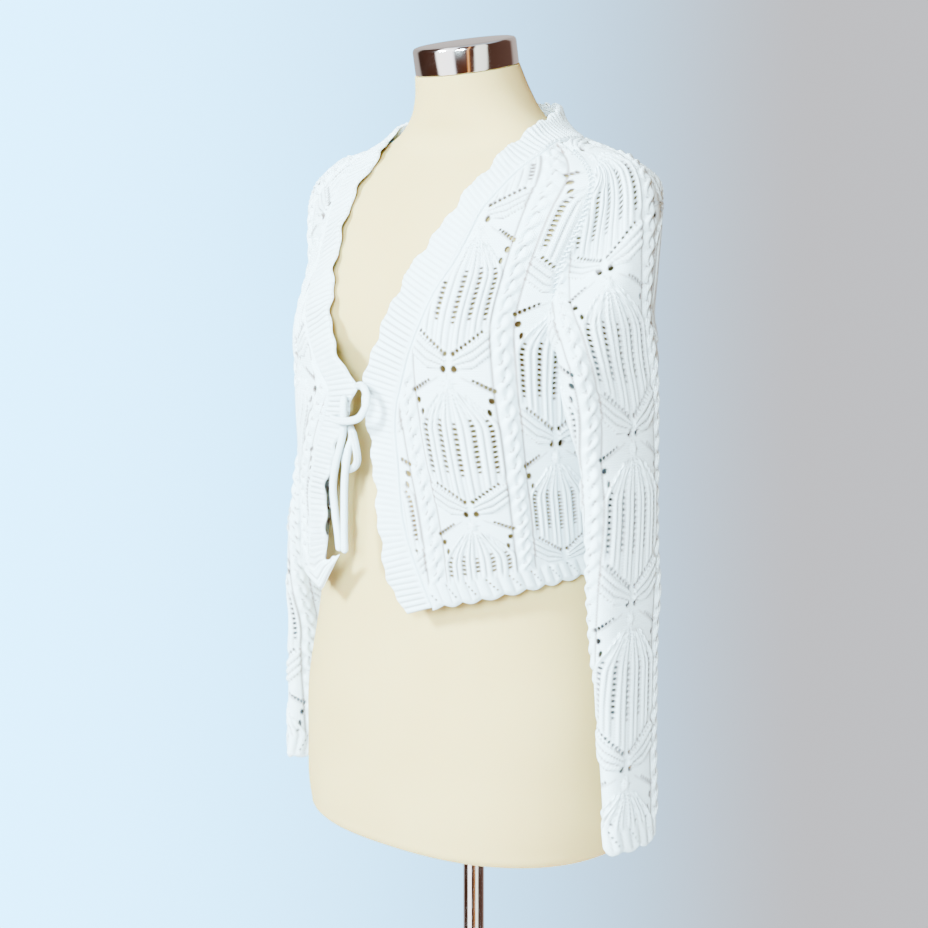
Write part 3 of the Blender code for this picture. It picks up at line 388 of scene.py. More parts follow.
# A front or the back as a map from flat cloth (u, v) to the space round the form; v runs up from the hem
class Body:
    def __init__(self, side, front, top):
        self.side, self.front = side, front
        dense = np.linspace(hemZ, topZ, 400)
        run = runAlong(clothPoint(drape["profileAngle"], dense))
        extra = max(top - topZ, 0.0001)
        self.vKnown = np.concatenate([[-0.01], run, [run[-1] + extra]])
        self.zKnown = np.concatenate([[hemZ - 0.01], dense, [topZ + extra]])
        self.topV = float(np.interp(top, self.zKnown, self.vKnown))
        self.rowZ = np.linspace(hemZ - 0.006, topZ + extra, 110)
        heights = np.maximum(self.rowZ, hemZ - 0.004)
        made = [frontRow(z, side) if front else arcTable(180.0, 90.0, z) for z in heights]
        self.rowAngle, self.rowU = made[0][0], np.array([u for _, u in made])

    def zOf(self, v):
        return np.interp(v, self.vKnown, self.zKnown)

    # Number of the row under a height, and the share of the way to the next
    def rowAt(self, z):
        place = np.clip((z - self.rowZ[0]) / (self.rowZ[1] - self.rowZ[0]), 0, len(self.rowZ) - 1.001)
        low = place.astype(int)
        return low, place - low

    def angleOf(self, u, z):
        low, t = self.rowAt(z)
        angle = np.zeros_like(u)
        for i in np.unique(low):
            at = low == i
            a = np.interp(u[at], self.rowU[i], self.rowAngle)
            b = np.interp(u[at], self.rowU[i + 1], self.rowAngle)
            angle[at] = a * (1 - t[at]) + b * t[at]
        return angle

    def uOf(self, angle, z):
        order = np.argsort(self.rowAngle)
        i, t = self.rowAt(z)
        low, high = (np.interp(angle, self.rowAngle[order], self.rowU[k][order]) for k in (i, i + 1))
        return low * (1 - t) + high * t

    # Left and right ends of the cloth at each v: the band's seam, and the raglan or the side
    def ends(self, vs):
        column = "front_angle" if self.front else "back_angle"
        left, right = [], []
        for v in vs:
            z = float(self.zOf(v))
            angle = 90.0 if z <= formPiece["underarmZ"] else float(smooth(raglanTable, "z", column, z))
            right.append(self.uOf(angle, z))
            left.append(self.uOf(seamAngle(z, self.side), z) if self.front else -right[-1])
        left, right = np.array(left), np.array(right)
        return left, np.maximum(right, left + 0.004)

    # Inner points and the way out at each
    def placed(self, u, v):
        z = self.zOf(v)
        angle = self.angleOf(u if self.front else np.abs(u), z)
        mirror = np.array([self.side, 1, 1])
        if not self.front:
            mirror = np.stack([np.where(u < 0, 1.0, -1.0), np.ones_like(u), np.ones_like(u)], -1)

        def at(turn, up):
            return clothPoint(angle + turn, raisedZ(angle + turn, z) + up) * mirror

        p = at(0, 0)
        out = np.cross(at(1.5, 0) - at(-1.5, 0), at(0, 0.004) - at(0, -0.004))
        out *= np.sign((out[:, :2] * p[:, :2]).sum(axis=1))[:, None]
        return p, out / np.linalg.norm(out, axis=1)[:, None]


def bezier(a, b, c, d, t):
    t = np.asarray(t)[:, None]
    return (1 - t) ** 3 * a + 3 * (1 - t) ** 2 * t * b + 3 * (1 - t) * t**2 * c + t**3 * d


# Inner points of half a sleeve row from the outer line to the seam: over the underarm an arch to the
# raglan, below it half a rounded loop with the sleeve's folds
def sleeveArc(z, front, side):
    toward = -1.0 if front else 1.0
    underarm, square, count = formPiece["underarmZ"], sleevePiece["square"], sleevePiece["halfRow"]
    x, y, thick, depth, rightBack = (float(smooth(sleeveTable, "z", column, min(z, underarm)))
                                     for column in ("centre_x", "centre_y", "half_thick", "half_depth",
                                                    "right_back"))
    if z > underarm:
        angle = float(smooth(raglanTable, "z", "front_angle" if front else "back_angle", z))
        seam, beyond = clothPoint(np.array([angle, angle - 2 * toward]), z)
        tangent = (beyond - seam) / np.linalg.norm(beyond - seam)
        outer = np.array([float(smooth(shoulderTable, "raglan_z", axis, z)) for axis in "xyz"])
        if side < 0:
            outer[1] += float(smooth(shoulderTable, "raglan_z", "right_back", z))
        outer[2] = lift(outer[2])
        share = min((z - underarm) / sleevePiece["blend"], 1.0)
        share = share * share * (3 - 2 * share)
        reach = np.linalg.norm(seam - outer)
        straight = np.array([0, toward, 0])
        fold = 1 + (sleevePiece["fold"][(front, side > 0)] - 1) * min(4 * share, 1)
        bulge = 4 / 3 * depth * fold * (1 - share)
        first = outer + straight * (bulge + 0.40 * reach * share)
        second = seam + straight * bulge + tangent * 0.38 * reach * share
        return bezier(outer, first, second, seam, np.linspace(0, 1, count))
    if side < 0:
        y += rightBack
    a = np.linspace(0, math.pi, count)
    cos, sin = np.cos(a), np.sin(a)
    px = x + thick * np.sign(cos) * np.abs(cos) ** (2 / square)
    py = y + toward * depth * np.abs(sin) ** (2 / square)
    points = np.stack([px, py, np.full_like(px, lift(z))], -1)
    degrees = np.degrees(a) * (1 if front else -1)
    grow = np.zeros_like(a)
    for at, middle, rise, tall, wide in zip(*(foldTable[c] for c in ("z", "angle", "rise", "tall", "wide"))):
        grow += rise * math.exp(-((z - at) / tall) ** 2) * np.exp(-((degrees - middle) / wide) ** 2)
    points[:, 0] += grow * np.sign(cos) * np.abs(cos) ** 0.5
    points[:, 1] += toward * grow * np.abs(sin)
    return points


# A whole sleeve as a map from flat cloth (u, v); v runs up from the cuff
class Sleeve:
    def __init__(self, side):
        self.side = side
        underarm, cuff = formPiece["underarmZ"], sleeveTable["z"][0]
        keys = np.concatenate([np.linspace(topZ, underarm + 0.024, 56), [underarm],
                               np.linspace(underarm - 0.006, cuff, 108), [cuff - 0.006]])
        arcs = {front: np.array([sleeveArc(z, front, side) for z in keys]) for front in (True, False)}
        # Rows across the underarm fold follow a smooth curve through the rows above and below it
        gap = np.where(keys == underarm)[0][0]
        fine = np.linspace(0, 1, 9)[1:-1]
        for front in arcs:
            above, low, high, below = (arcs[front][gap + k] for k in (-2, -1, 0, 1))
            bridge = [hermite(t, low, high, (high - above) / 2, (below - low) / 2) for t in fine]
            arcs[front] = np.concatenate([arcs[front][:gap], bridge, arcs[front][gap:]])
            arcs[front][-1][:, 2] = lift(keys[-1])
        keys = np.concatenate([keys[:gap], keys[gap - 1] + fine * (underarm - keys[gap - 1]), keys[gap:]])
        lengths = {}
        for front in arcs:
            steps = np.linalg.norm(np.diff(arcs[front], axis=1), axis=2)
            lengths[front] = np.concatenate([np.zeros((len(keys), 1)), np.cumsum(steps, axis=1)], axis=1)
        run = runAlong(arcs[True][:, 0])
        self.rowV = (run[-2] - run)[::-1]
        self.topV = float(self.rowV[-1])
        middle = np.array([float(smooth(shoulderTable, "raglan_z", "middle_u", k)) if k > underarm
                           else float(smooth(sleeveTable, "z", "middle_u", k)) for k in keys])[::-1]
        self.middle = np.convolve(np.pad(middle, 4, mode="edge"), np.ones(9) / 9, mode="valid")
        self.rowU = np.concatenate([-lengths[True][::-1, ::-1], lengths[False][::-1, 1:]], axis=1)
        self.rowPoint = np.concatenate([arcs[True][::-1, ::-1], arcs[False][::-1, 1:]], axis=1)

    def ends(self, v):
        return tuple(np.interp(v, self.rowV, self.rowU[:, k] - self.middle) for k in (0, -1))

    def at(self, u, v):
        v = np.clip(v, self.rowV[0], self.rowV[-1])
        i = np.clip(np.searchsorted(self.rowV, v, side="right") - 1, 0, len(self.rowV) - 2)
        t = (v - self.rowV[i]) / (self.rowV[i + 1] - self.rowV[i])
        across = u + (self.middle[i] * (1 - t) + self.middle[i + 1] * t)
        lowEnd, highEnd = (self.rowU[i, k] * (1 - t) + self.rowU[i + 1, k] * t for k in (0, -1))
        p = np.zeros((len(u), 3))
        for k in np.unique(i):
            here = i == k
            for row, weight in ((k, 1 - t[here]), (k + 1, t[here])):
                low, high = self.rowU[row, 0], self.rowU[row, -1]
                scaled = np.where(across[here] < 0, across[here] * low / lowEnd[here],
                                  across[here] * high / highEnd[here])
                for axis in range(3):
                    p[here, axis] += weight * np.interp(scaled, self.rowU[row], self.rowPoint[row, :, axis])
        p[:, 0] *= self.side
        return p

    # Inner points and the way out at each; the lower sleeve is drawn in a little
    def placed(self, u, v):
        d = 0.0016
        left, right = self.ends(v)
        p = self.at(u, v)
        across = self.at(np.clip(u + d, left, right), v) - self.at(np.clip(u - d, left, right), v)
        upward = self.at(u, v + d) - self.at(u, v - d)
        out = np.cross(across, upward) * self.side
        out /= np.maximum(np.linalg.norm(out, axis=1), 1e-9)[:, None]
        drawn = sleevePiece["drawnIn"] * (1 - step01(v, self.topV - 0.20, self.topV - 0.14))
        edge = np.minimum(u - left, right - u)
        return p - out * (drawn * step01(edge, 0.0, 0.02))[:, None], out


# Stitch pattern, in metres of flat cloth

knit = {"cloth": 0.0018, "frontSpacing": 0.00130, "sleeveSpacing": 0.00158, "backSpacing": 0.00175,
        "innerSpacing": 0.006, "motifWidth": 0.088, "bodyRepeat": 0.1265, "sleeveRepeat": 0.1415,
        "bodyFirstHole": 0.0877, "sleeveFirstHole": 0.0735, "scallopPitch": 0.021, "hemScallop": 0.0030,
        "border": 0.021, "eyeletShade": 0.75, "borderShade": 0.22, "edgeRound": 0.0022,
        "eyeletMargin": 0.0022, "restGap": 0.0009}

cable = {"twist": 0.029, "swing": 0.0042, "strand": 0.0043, "rise": 0.0034, "halfWidth": 0.0096,
         "grooveDepth": 0.0010, "grooveWidth": 0.0011, "paintedShadeWidth": 0.0009, "crossingDepth": 0.0006}

fan = {"ladderGap": 0.0144, "ribRise": 0.0019, "leafRise": 0.0019, "knotRise": 0.0020, "knotDrop": 0.0120,
       "knotHalfWidth": 0.0052, "knotHalfHeight": 0.0072, "armStart": 0.0036, "armFoot": 0.0115,
       "armSlope": 0.76, "armStep": 0.0034, "wingStart": 0.0195, "wingSlope": 0.55, "wingStep": 0.0031,
       "ladderStep": 0.0043, "rungs": 11, "ribGroove": 0.0009, "veinDepth": 0.0005, "leafStitch": 0.0032,
       "gatherDepth": 0.0007}

# Half width and half height of each kind of eyelet
eyeletSize = {"arm": (0.00145, 0.00175), "wing": (0.00140, 0.0017), "ladder": (0.00225, 0.00130),
              "border": (0.0012, 0.0014)}

# Eyelets on a motif's right half: (across, height, half width, half height, turn)
pairEyelet = (0.0048, 0.0, 0.0026, 0.0031, -0.25)
sideEyelets = ((0.0318, -0.0262, 0.0025, 0.0028, 0.3), (0.0290, -0.0358, 0.0017, 0.0030, 0.2))


# Distance from the lace panel's middle, and height over the large eyelets of its motif, on the scale of
# the body's repeat
def motifPlace(u, v, firstHole, repeat):
    k = np.round(u / knit["motifWidth"])
    share = ((v - firstHole) / repeat + 0.5 * (k % 2)) % 1.0
    return u - k * knit["motifWidth"], share * knit["bodyRepeat"]


def armHeight(across):
    return fan["armFoot"] + fan["armSlope"] * (np.abs(across) - fan["armStart"])


def fanSpread(below):
    return 0.20 + 0.80 * step01(below, 0.012, 0.052) ** 0.8


# A bell-shaped rise round a line
def bell(distance, width):
    return np.exp(-(distance / width) ** 2)


# How far the outer face stands out from a plain cloth, and how much painted shade darkens each point
def relief(u, v, firstHole, repeat):
    across, h = motifPlace(u, v, firstHole, repeat)
    a, below = np.abs(across), knit["bodyRepeat"] - h
    # rope cables between grooves
    t = (u / knit["motifWidth"] - np.floor(u / knit["motifWidth"]) - 0.5) * knit["motifWidth"]
    phase = 2 * math.pi * v / cable["twist"]
    strands = []
    for k in (0, 1):
        centre = cable["swing"] * np.sin(phase + k * math.pi)
        top = 0.70 + 0.30 * np.cos(phase + k * math.pi)
        strands.append(top - ((t - centre) / cable["strand"]) ** 2)
    rope = np.maximum(*strands)
    rise = cable["rise"] * np.clip(rope, 0, None)
    crossing = bell(np.abs(strands[0] - strands[1]), 0.30) * (rope > 0)
    toGroove = np.abs(t) - cable["halfWidth"]
    # painted shade where the strands cross and along the grooves beside the cable
    crease = 1.0 * crossing + bell(toGroove, cable["paintedShadeWidth"])
    rise -= cable["grooveDepth"] * bell(toGroove, cable["grooveWidth"]) + cable["crossingDepth"] * crossing
    # a pair of ribs between neighbouring ladders, drawn together into the knot
    s = a / (fan["ladderGap"] * fanSpread(below))
    p = np.abs(s - np.round(s))
    ridge = np.sin(math.pi * np.clip((p - 0.13) / 0.41, 0, 1))
    groove = bell(p - 0.5, 0.055)
    inFan = (step01(below, 0.016, 0.022) * step01(h, armHeight(a), armHeight(a) + 0.008)
             * (1 - step01(s, 2.42, 2.55)) * (1 - step01(a, 0.0345, 0.0365)))
    rise += inFan * (fan["ribRise"] * ridge - fan["ribGroove"] * groove)
    # painted shade in the grooves between the ribs and along the ribs' edges
    crease += inFan * (0.8 * groove + 0.5 * bell(p - 0.13, 0.05))
    # leaves under the arms of eyelets
    q = (armHeight(a) - h) * 0.80
    width = 0.0024 + 0.0032 * np.clip(a / 0.020, 0, 1)
    band = q / width - 0.35
    inLeaf = (band > 0) * (band < 3) * (a > 0.003) * (1 - step01(a, 0.034, 0.0365))
    vein = bell(band - np.round(band), 0.11)
    rise += inLeaf * (fan["leafRise"] * np.abs(np.sin(math.pi * band)) ** 0.7 - fan["veinDepth"] * vein)
    stitch = np.abs(np.sin(math.pi * (a + 0.6 * h) / fan["leafStitch"]))
    rise += inLeaf * fan["veinDepth"] * stitch
    # painted shade along the leaves' veins and between their stitches
    crease += inLeaf * (0.8 * vein + 0.25 * (1 - stitch))
    # wings below the leaves, edged by a slanting line of painted shade
    wing = h + fan["wingSlope"] * (a - fan["wingStart"]) - (knit["bodyRepeat"] - 0.0120)
    crease += 0.6 * bell(wing, 0.0008) * step01(a, 0.008, 0.012) * (1 - step01(a, 0.034, 0.036))
    # knot: a soft hump with gathers that run out of it
    drop = below - fan["knotDrop"]
    r = ((a / fan["knotHalfWidth"]) ** 1.4 + (np.abs(drop) / fan["knotHalfHeight"]) ** 1.4) ** (1 / 1.4)
    gathers = bell(np.sin(3.5 * np.arctan2(drop, across)), 0.30)
    gathers = gathers * step01(r, 0.25, 0.50) * (1 - step01(r, 1.0, 1.5))
    rise += fan["knotRise"] * np.clip(1 - r**2, 0, 1) ** 1.3 - fan["gatherDepth"] * gathers
    # painted shade in the gathers
    crease += 0.5 * gathers
    return rise, np.clip(crease, 0, 1)


# The border of upright ribs that the scallops end in, with painted shade in the hollows between the ribs
def hemRelief(u, v):
    turn = np.abs(np.sin(math.pi * (u + 0.25 * v) / (0.5 * knit["scallopPitch"])))
    return 0.0022 * turn ** 0.8, 0.5 * bell(turn, 0.26)


# (across, height over the pair, half width, half height, turn) of each eyelet of one motif
def motifEyelets():
    (armWide, armTall), (wingWide, wingTall), (rungWide, rungTall), _ = eyeletSize.values()
    half = [pairEyelet]
    for i in range(8):
        a = fan["armStart"] + fan["armStep"] * i
        size = 1.30 if i == 0 else 1.0 - 0.02 * i
        half.append((a, float(armHeight(a)) + 0.001, armWide * size, armTall * size, 0.5))
    for i in range(6):
        a = fan["wingStart"] + fan["wingStep"] * i
        size = 0.80 + 0.09 * i
        h = -0.0095 - fan["wingSlope"] * (a - fan["wingStart"])
        half.append((a, h, wingWide * size, wingTall * size, -0.4))
    half += sideEyelets
    found = [(side * a, h, wide, tall, side * turn) for side in (-1, 1) for a, h, wide, tall, turn in half]
    for column in (-2, -1, 0, 1, 2):
        start = 0.0455 if column == 0 else 0.0425
        for i in range(fan["rungs"]):
            below = start + fan["ladderStep"] * i
            a = column * fan["ladderGap"] * float(fanSpread(below))
            size = 0.72 if i in (0, fan["rungs"] - 1) else 1.0
            found.append((a, -below, rungWide * size, rungTall * size, 0.30 * np.sign(column)))
    return found


# (u, v, half width, half height, turn) of each eyelet in a strip of knitting
def eyelets(firstHole, repeat, low, high, top):
    wide, scale, one = knit["motifWidth"], repeat / knit["bodyRepeat"], motifEyelets()
    found = []
    for k in range(math.floor(low / wide) - 1, math.ceil(high / wide) + 2):
        for n in range(-1, int(top / repeat) + 3):
            base = firstHole + (n - 0.5 * (k % 2)) * repeat
            found += [(k * wide + a, base + h * scale, *shape) for a, h, *shape in one]
    return found


# Short slanting lines of small eyelets in the hem, one to each scallop
def borderEyelets(low, high):
    pitch = knit["scallopPitch"]
    return [(k * pitch + 0.0150 - 0.0029 * i, 0.0068 + 0.0040 * i, *eyeletSize["border"], 0.5)
            for k in range(math.floor(low / pitch), math.ceil(high / pitch) + 1) for i in range(4)]


# Corners of an eyelet's outline
def eyeletRing(u, v, halfWide, halfTall, turn):
    sides = 8 if halfWide > 0.0012 else 6
    ring = []
    for k in range(sides):
        a = 2 * math.pi * k / sides
        x, y = halfWide * math.cos(a), halfTall * math.sin(a)
        ring.append((u + x * math.cos(turn) - y * math.sin(turn),
                     v + x * math.sin(turn) + y * math.cos(turn)))
    return ring


# Triangles of a flat cloth: its outline, its holes, and the points inside it
def triangulate(outline, holes, points):
    verts, edges, loops = [], [], []
    for ring in (outline, *holes):
        start, count = len(verts), len(ring)
        verts.extend(Vector((float(x), float(y))) for x, y in ring)
        edges.extend((start + k, start + (k + 1) % count) for k in range(count))
        loops.append(list(range(start, start + count)))
    verts.extend(Vector((float(x), float(y))) for x, y in points)
    flat, _, faces, origin, _, faceOrigin = delaunay_2d_cdt(verts, edges, loops, 1, 1e-7, True)
    first = {source: index for index, sources in enumerate(origin) for source in sources}
    rings = [[first[i] for i in ring] for ring in loops]
    kept = [f for f, sources in zip(faces, faceOrigin) if list(sources) == [0]]
    return np.array([p[:] for p in flat]), kept, rings


def lattice(spacing, low, high, bottom, top):
    xs, ys = np.arange(low, high, spacing), np.arange(bottom, top, spacing * 0.9)
    return np.array([(x + (0.25 if j % 2 else -0.25) * spacing, y) for j, y in enumerate(ys) for x in xs])


# Keeps the upper cloth clear of the form where it lies on it
def rested(points):
    moved = points.copy()
    for i in np.where(points[:, 2] > lift(0.50))[0]:
        near, normal, _, _ = bodyTree.find_nearest(Vector(points[i]))
        short = knit["restGap"] - (Vector(points[i]) - near).dot(normal)
        if short > 0:
            moved[i] += np.array(normal) * short
    return moved


def makeMesh(name, points, faces, material, sharp=None):
    mesh = bpy.data.meshes.new(name)
    mesh.from_pydata([tuple(map(float, p)) for p in points], [], faces)
    mesh.update()
    piece = bpy.data.objects.new(name, mesh)
    scene.collection.objects.link(piece)
    mesh.materials.append(material)
    mesh.shade_smooth()
    if sharp:
        mesh.set_sharp_from_angle(angle=math.radians(sharp))
    return piece


# What the knit's material reads: UV in metres of flat cloth, and how much painted shade darkens each point
def addCloth(piece, places, paintedShades):
    mesh = piece.data
    layer = mesh.uv_layers.new(name="cloth")
    index = np.zeros(len(mesh.loops), dtype=np.int32)
    mesh.loops.foreach_get("vertex_index", index)
    layer.data.foreach_set("uv", places[index].astype(np.float32).ravel())
    paintedShadeLayer = mesh.attributes.new("crease", "FLOAT", "POINT")
    paintedShadeLayer.data.foreach_set("value", np.asarray(paintedShades, dtype=np.float32))


# A knitted wall over a surface: the eyelets are cut through, ribs and cables stand out, and its edges are
# round. Gives the piece, its flat size and its flat area.
def knittedSheet(name, surface, motif, spacing):
    firstHole, repeat, top = knit[motif + "FirstHole"], knit[motif + "Repeat"], surface.topV
    vs = np.linspace(0, top, max(int(top / spacing), 8))
    left, right = surface.ends(vs)
    low, high = float(left.min()), float(right.max())

    def leftAt(v):
        return np.interp(v, vs, left)

    def rightAt(v):
        return np.interp(v, vs, right)

    def bottomAt(u):
        return -knit["hemScallop"] * np.abs(np.sin(math.pi * u / knit["scallopPitch"]))

    along = np.linspace(left[0], right[0], int((right[0] - left[0]) / spacing) + 1)
    topRun = np.linspace(right[-1], left[-1], max(int((right[-1] - left[-1]) / spacing), 1) + 1)[1:-1]
    outline = [(u, float(bottomAt(u))) for u in along] + list(zip(right[1:], vs[1:]))
    outline += [(u, top) for u in topRun] + list(zip(left[:0:-1], vs[:0:-1]))

    holes = []
    wanted = [e for e in eyelets(firstHole, repeat, low, high, top) if e[1] > knit["border"] + 0.004]
    for u, v, halfWide, halfTall, turn in wanted + borderEyelets(low, high):
        margin = knit["eyeletMargin"] + halfWide
        inWidth = leftAt(v) + margin < u < rightAt(v) - margin
        inHeight = 0.004 + halfTall < v < top - 0.0035 - halfTall
        if inWidth and inHeight and all(abs(leftAt(v + dv) - leftAt(v)) <= 0.02 for dv in (-0.004, 0.004)):
            holes.append((u, v, halfWide, halfTall, turn))
    rings = [eyeletRing(*hole) for hole in holes]

    # The points that keep clear of the outline and the eyelets
    def inside(points, clear):
        u, v = points[:, 0], points[:, 1]
        good = (u > leftAt(v) + clear) & (u < rightAt(v) - clear)
        good &= (v > bottomAt(u) + clear) & (v < top - clear)
        points = points[good]
        points = points[np.argsort(points[:, 1])]
        kept = np.ones(len(points), bool)
        for hu, hv, halfWide, halfTall, turn in holes:
            reach = max(halfWide, halfTall) + clear
            a, b = np.searchsorted(points[:, 1], (hv - reach, hv + reach))
            x, y = points[a:b, 0] - hu, points[a:b, 1] - hv
            px, py = x * math.cos(turn) + y * math.sin(turn), -x * math.sin(turn) + y * math.cos(turn)
            kept[a:b] &= (px / (halfWide + 0.55 * clear)) ** 2 + (py / (halfTall + 0.55 * clear)) ** 2 > 1
        return points[kept]

    def outerWall(u, v):
        p, out = surface.placed(u, v)
        edge = np.minimum(np.minimum(u - leftAt(v), rightAt(v) - u), v - bottomAt(u))
        rounded = np.sqrt(np.clip(1 - (1 - np.clip(edge / knit["edgeRound"], 0, 1)) ** 2, 0, 1))
        border = step01(v, knit["border"] - 0.003, knit["border"] + 0.004)
        pattern, crease = relief(u, v, firstHole, repeat)
        hemRise, hemPaintedShade = hemRelief(u, v)
        full = knit["cloth"] + border * pattern + (1 - border) * hemRise
        near = step01(edge, 0.001, 0.005)
        thick = (0.35 + 0.65 * rounded) * (knit["cloth"] * (1 - near) + full * near)
        return rested(p) + out * thick[:, None], near * (border * crease + (1 - border) * hemPaintedShade)

    outerFlat, outerFaces, outerRings = triangulate(
        outline, rings, inside(lattice(spacing, low, high, -0.004, top), 0.6 * spacing))
    innerFlat, innerFaces, innerRings = triangulate(
        outline, rings, inside(lattice(knit["innerSpacing"], low, high, -0.004, top), 0.0012))
    outer, outerPaintedShade = outerWall(*outerFlat.T)
    inner, innerPaintedShade = rested(surface.placed(*innerFlat.T)[0]), np.zeros(len(innerFlat))
    # Painted shade round the eyelets: a dark ring on each outer rim and a fully dark inner rim, so each
    # hole's wall reads as shadow; fainter in the hem border and on coarser meshes
    shade = knit["eyeletShade"] * (knit["frontSpacing"] / spacing) ** 1.5
    for outerRing, innerRing, hole in zip(outerRings[1:], innerRings[1:], holes):
        atRim = shade if hole[1] > knit["border"] else knit["borderShade"]
        outerPaintedShade[outerRing] = np.maximum(outerPaintedShade[outerRing], atRim)
        innerPaintedShade[innerRing] = 1.0
    count = len(outer)
    faces = [tuple(f) for f in outerFaces] + [tuple(i + count for i in f[::-1]) for f in innerFaces]
    for ring, (outerRing, innerRing) in enumerate(zip(outerRings, innerRings)):
        for k in range(len(outerRing)):
            following = (k + 1) % len(outerRing)
            a, b = outerRing[k], outerRing[following]
            c, d = innerRing[k] + count, innerRing[following] + count
            faces.append((b, a, c, d) if ring == 0 else (a, b, d, c))
    if surface.side < 0:
        faces = [f[::-1] for f in faces]
    piece = makeMesh(name, np.vstack([outer, inner]), faces, cotton, 60)
    addCloth(piece, np.concatenate([outerFlat, innerFlat]), np.concatenate([outerPaintedShade, innerPaintedShade]))
    area = 0.5 * abs(sum(x1 * y2 - x2 * y1
                         for (x1, y1), (x2, y2) in zip(outline, outline[1:] + outline[:1])))
    area -= sum(math.pi * halfWide * halfTall for _, _, halfWide, halfTall, _ in holes)
    wide, tall = high - low, top + knit["hemScallop"]
    triangles = sum(len(f) - 2 for f in faces)
    print(f"{name}: {len(holes)} eyelets, {triangles} triangles, flat {wide:.3f} x {tall:.3f} m")
    return piece, (wide, tall), max(area, 0.31 * wide * tall)


# Materials

# The grey and the dark brown are painted shade: grey in the valleys between V stitches, dark brown in
# creases, rib valleys and round eyelets
cottonLook = {"stitchWide": 0.0029, "stitchTall": 0.0021, "slope": 1.5, "fuzz": 0.7, "bump": 0.00060,
              "tints": ("#E9FAFF", "#E2F5FB"), "paintedValleyShade": "#C4CACF", "crease": "#6A4636", "paintedShadeShare": 0.95}

jerseyLook = {"tints": ("#B89E66", "#AD9058"), "grain": 1400.0, "bump": 0.00012}

chromeLook = {"hex": "#C9C6C4", "rings": 1500.0, "bump": 0.00002, "polished": (0.05, 0.14),
              "satin": (0.36, 0.44)}


# Mercerised cotton yarn, plied and hand-washed: matte, bright, with fine V stitches and a little fuzz
# that softens its shadows
def cottonKnit():
    material, tree, shader, place = newMaterial("white_cotton_knit")
    uv = addNode(tree, "ShaderNodeUVMap", uv_map="cloth")
    across, along, _ = addNode(tree, "ShaderNodeSeparateXYZ", {0: uv}).outputs
    column = addNode(tree, "ShaderNodeMath", {0: across, 1: 1 / cottonLook["stitchWide"]},
                     operation="MULTIPLY")
    fract = addNode(tree, "ShaderNodeMath", {0: column}, operation="FRACT")
    centred = addNode(tree, "ShaderNodeMath", {0: fract, 1: 0.5}, operation="SUBTRACT")
    half = addNode(tree, "ShaderNodeMath", {0: centred}, operation="ABSOLUTE")
    rise = addNode(tree, "ShaderNodeMath", {0: half, 1: -cottonLook["slope"]}, operation="MULTIPLY")
    row = addNode(tree, "ShaderNodeMath", {0: along, 1: 1 / cottonLook["stitchTall"], 2: rise},
                  operation="MULTIPLY_ADD")
    turn = addNode(tree, "ShaderNodeMath", {0: row, 1: 2 * math.pi}, operation="MULTIPLY")
    wave = addNode(tree, "ShaderNodeMath", {0: turn}, operation="SINE")
    ridge = addNode(tree, "ShaderNodeMapRange", {0: half, 1: 0.0, 2: 0.5, 3: 0.0, 4: math.pi})
    arch = addNode(tree, "ShaderNodeMath", {0: ridge}, operation="SINE")
    stitch = addNode(tree, "ShaderNodeMath", {0: wave, 1: arch}, operation="MULTIPLY")
    fuzz = addNode(tree, "ShaderNodeTexNoise", {"Vector": place, "Scale": 900.0, "Detail": 3.0})
    height = addNode(tree, "ShaderNodeMath", {0: fuzz, 1: cottonLook["fuzz"], 2: stitch},
                     operation="MULTIPLY_ADD")
    bump = addNode(tree, "ShaderNodeBump", {"Height": height, "Distance": cottonLook["bump"],
                                            "Strength": 1.0})
    sway = addNode(tree, "ShaderNodeTexNoise", {"Vector": place, "Scale": 14.0, "Detail": 2.0})
    one, other = map(srgb, cottonLook["tints"])
    tint = addNode(tree, "ShaderNodeMix", {"Factor": sway, 6: one, 7: other}, data_type="RGBA")
    # Painted shade: the valleys between the V stitches are greyed
    paintedValleyShade = addNode(tree, "ShaderNodeMapRange", {0: stitch, 1: -1.0, 2: 0.6, 3: 0.45, 4: 0.0})
    yarn = addNode(tree, "ShaderNodeMix", {"Factor": paintedValleyShade, 6: tint.outputs[2],
                                           7: srgb(cottonLook["paintedValleyShade"])}, data_type="RGBA")
    # Painted shade: the mesh's attribute mixes the yarn toward dark brown in creases, rib valleys and eyelet
    # rims
    crease = addNode(tree, "ShaderNodeAttribute", attribute_name="crease").outputs["Fac"]
    depth = addNode(tree, "ShaderNodeMath", {0: crease, 1: cottonLook["paintedShadeShare"]},
                    operation="MULTIPLY")
    shaded = addNode(tree, "ShaderNodeMix", {"Factor": depth, 6: yarn.outputs[2],
                                             7: srgb(cottonLook["crease"])}, data_type="RGBA")
    feed(tree, shader, {"Base Color": shaded.outputs[2], "Normal": bump, "Roughness": 0.92,
                        "Specular IOR Level": 0.25, "Sheen Weight": 0.25, "Sheen Roughness": 0.6,
                        "Subsurface Weight": 0.15, "Subsurface Radius": (1.0, 0.85, 0.70),
                        "Subsurface Scale": 0.005})
    return material


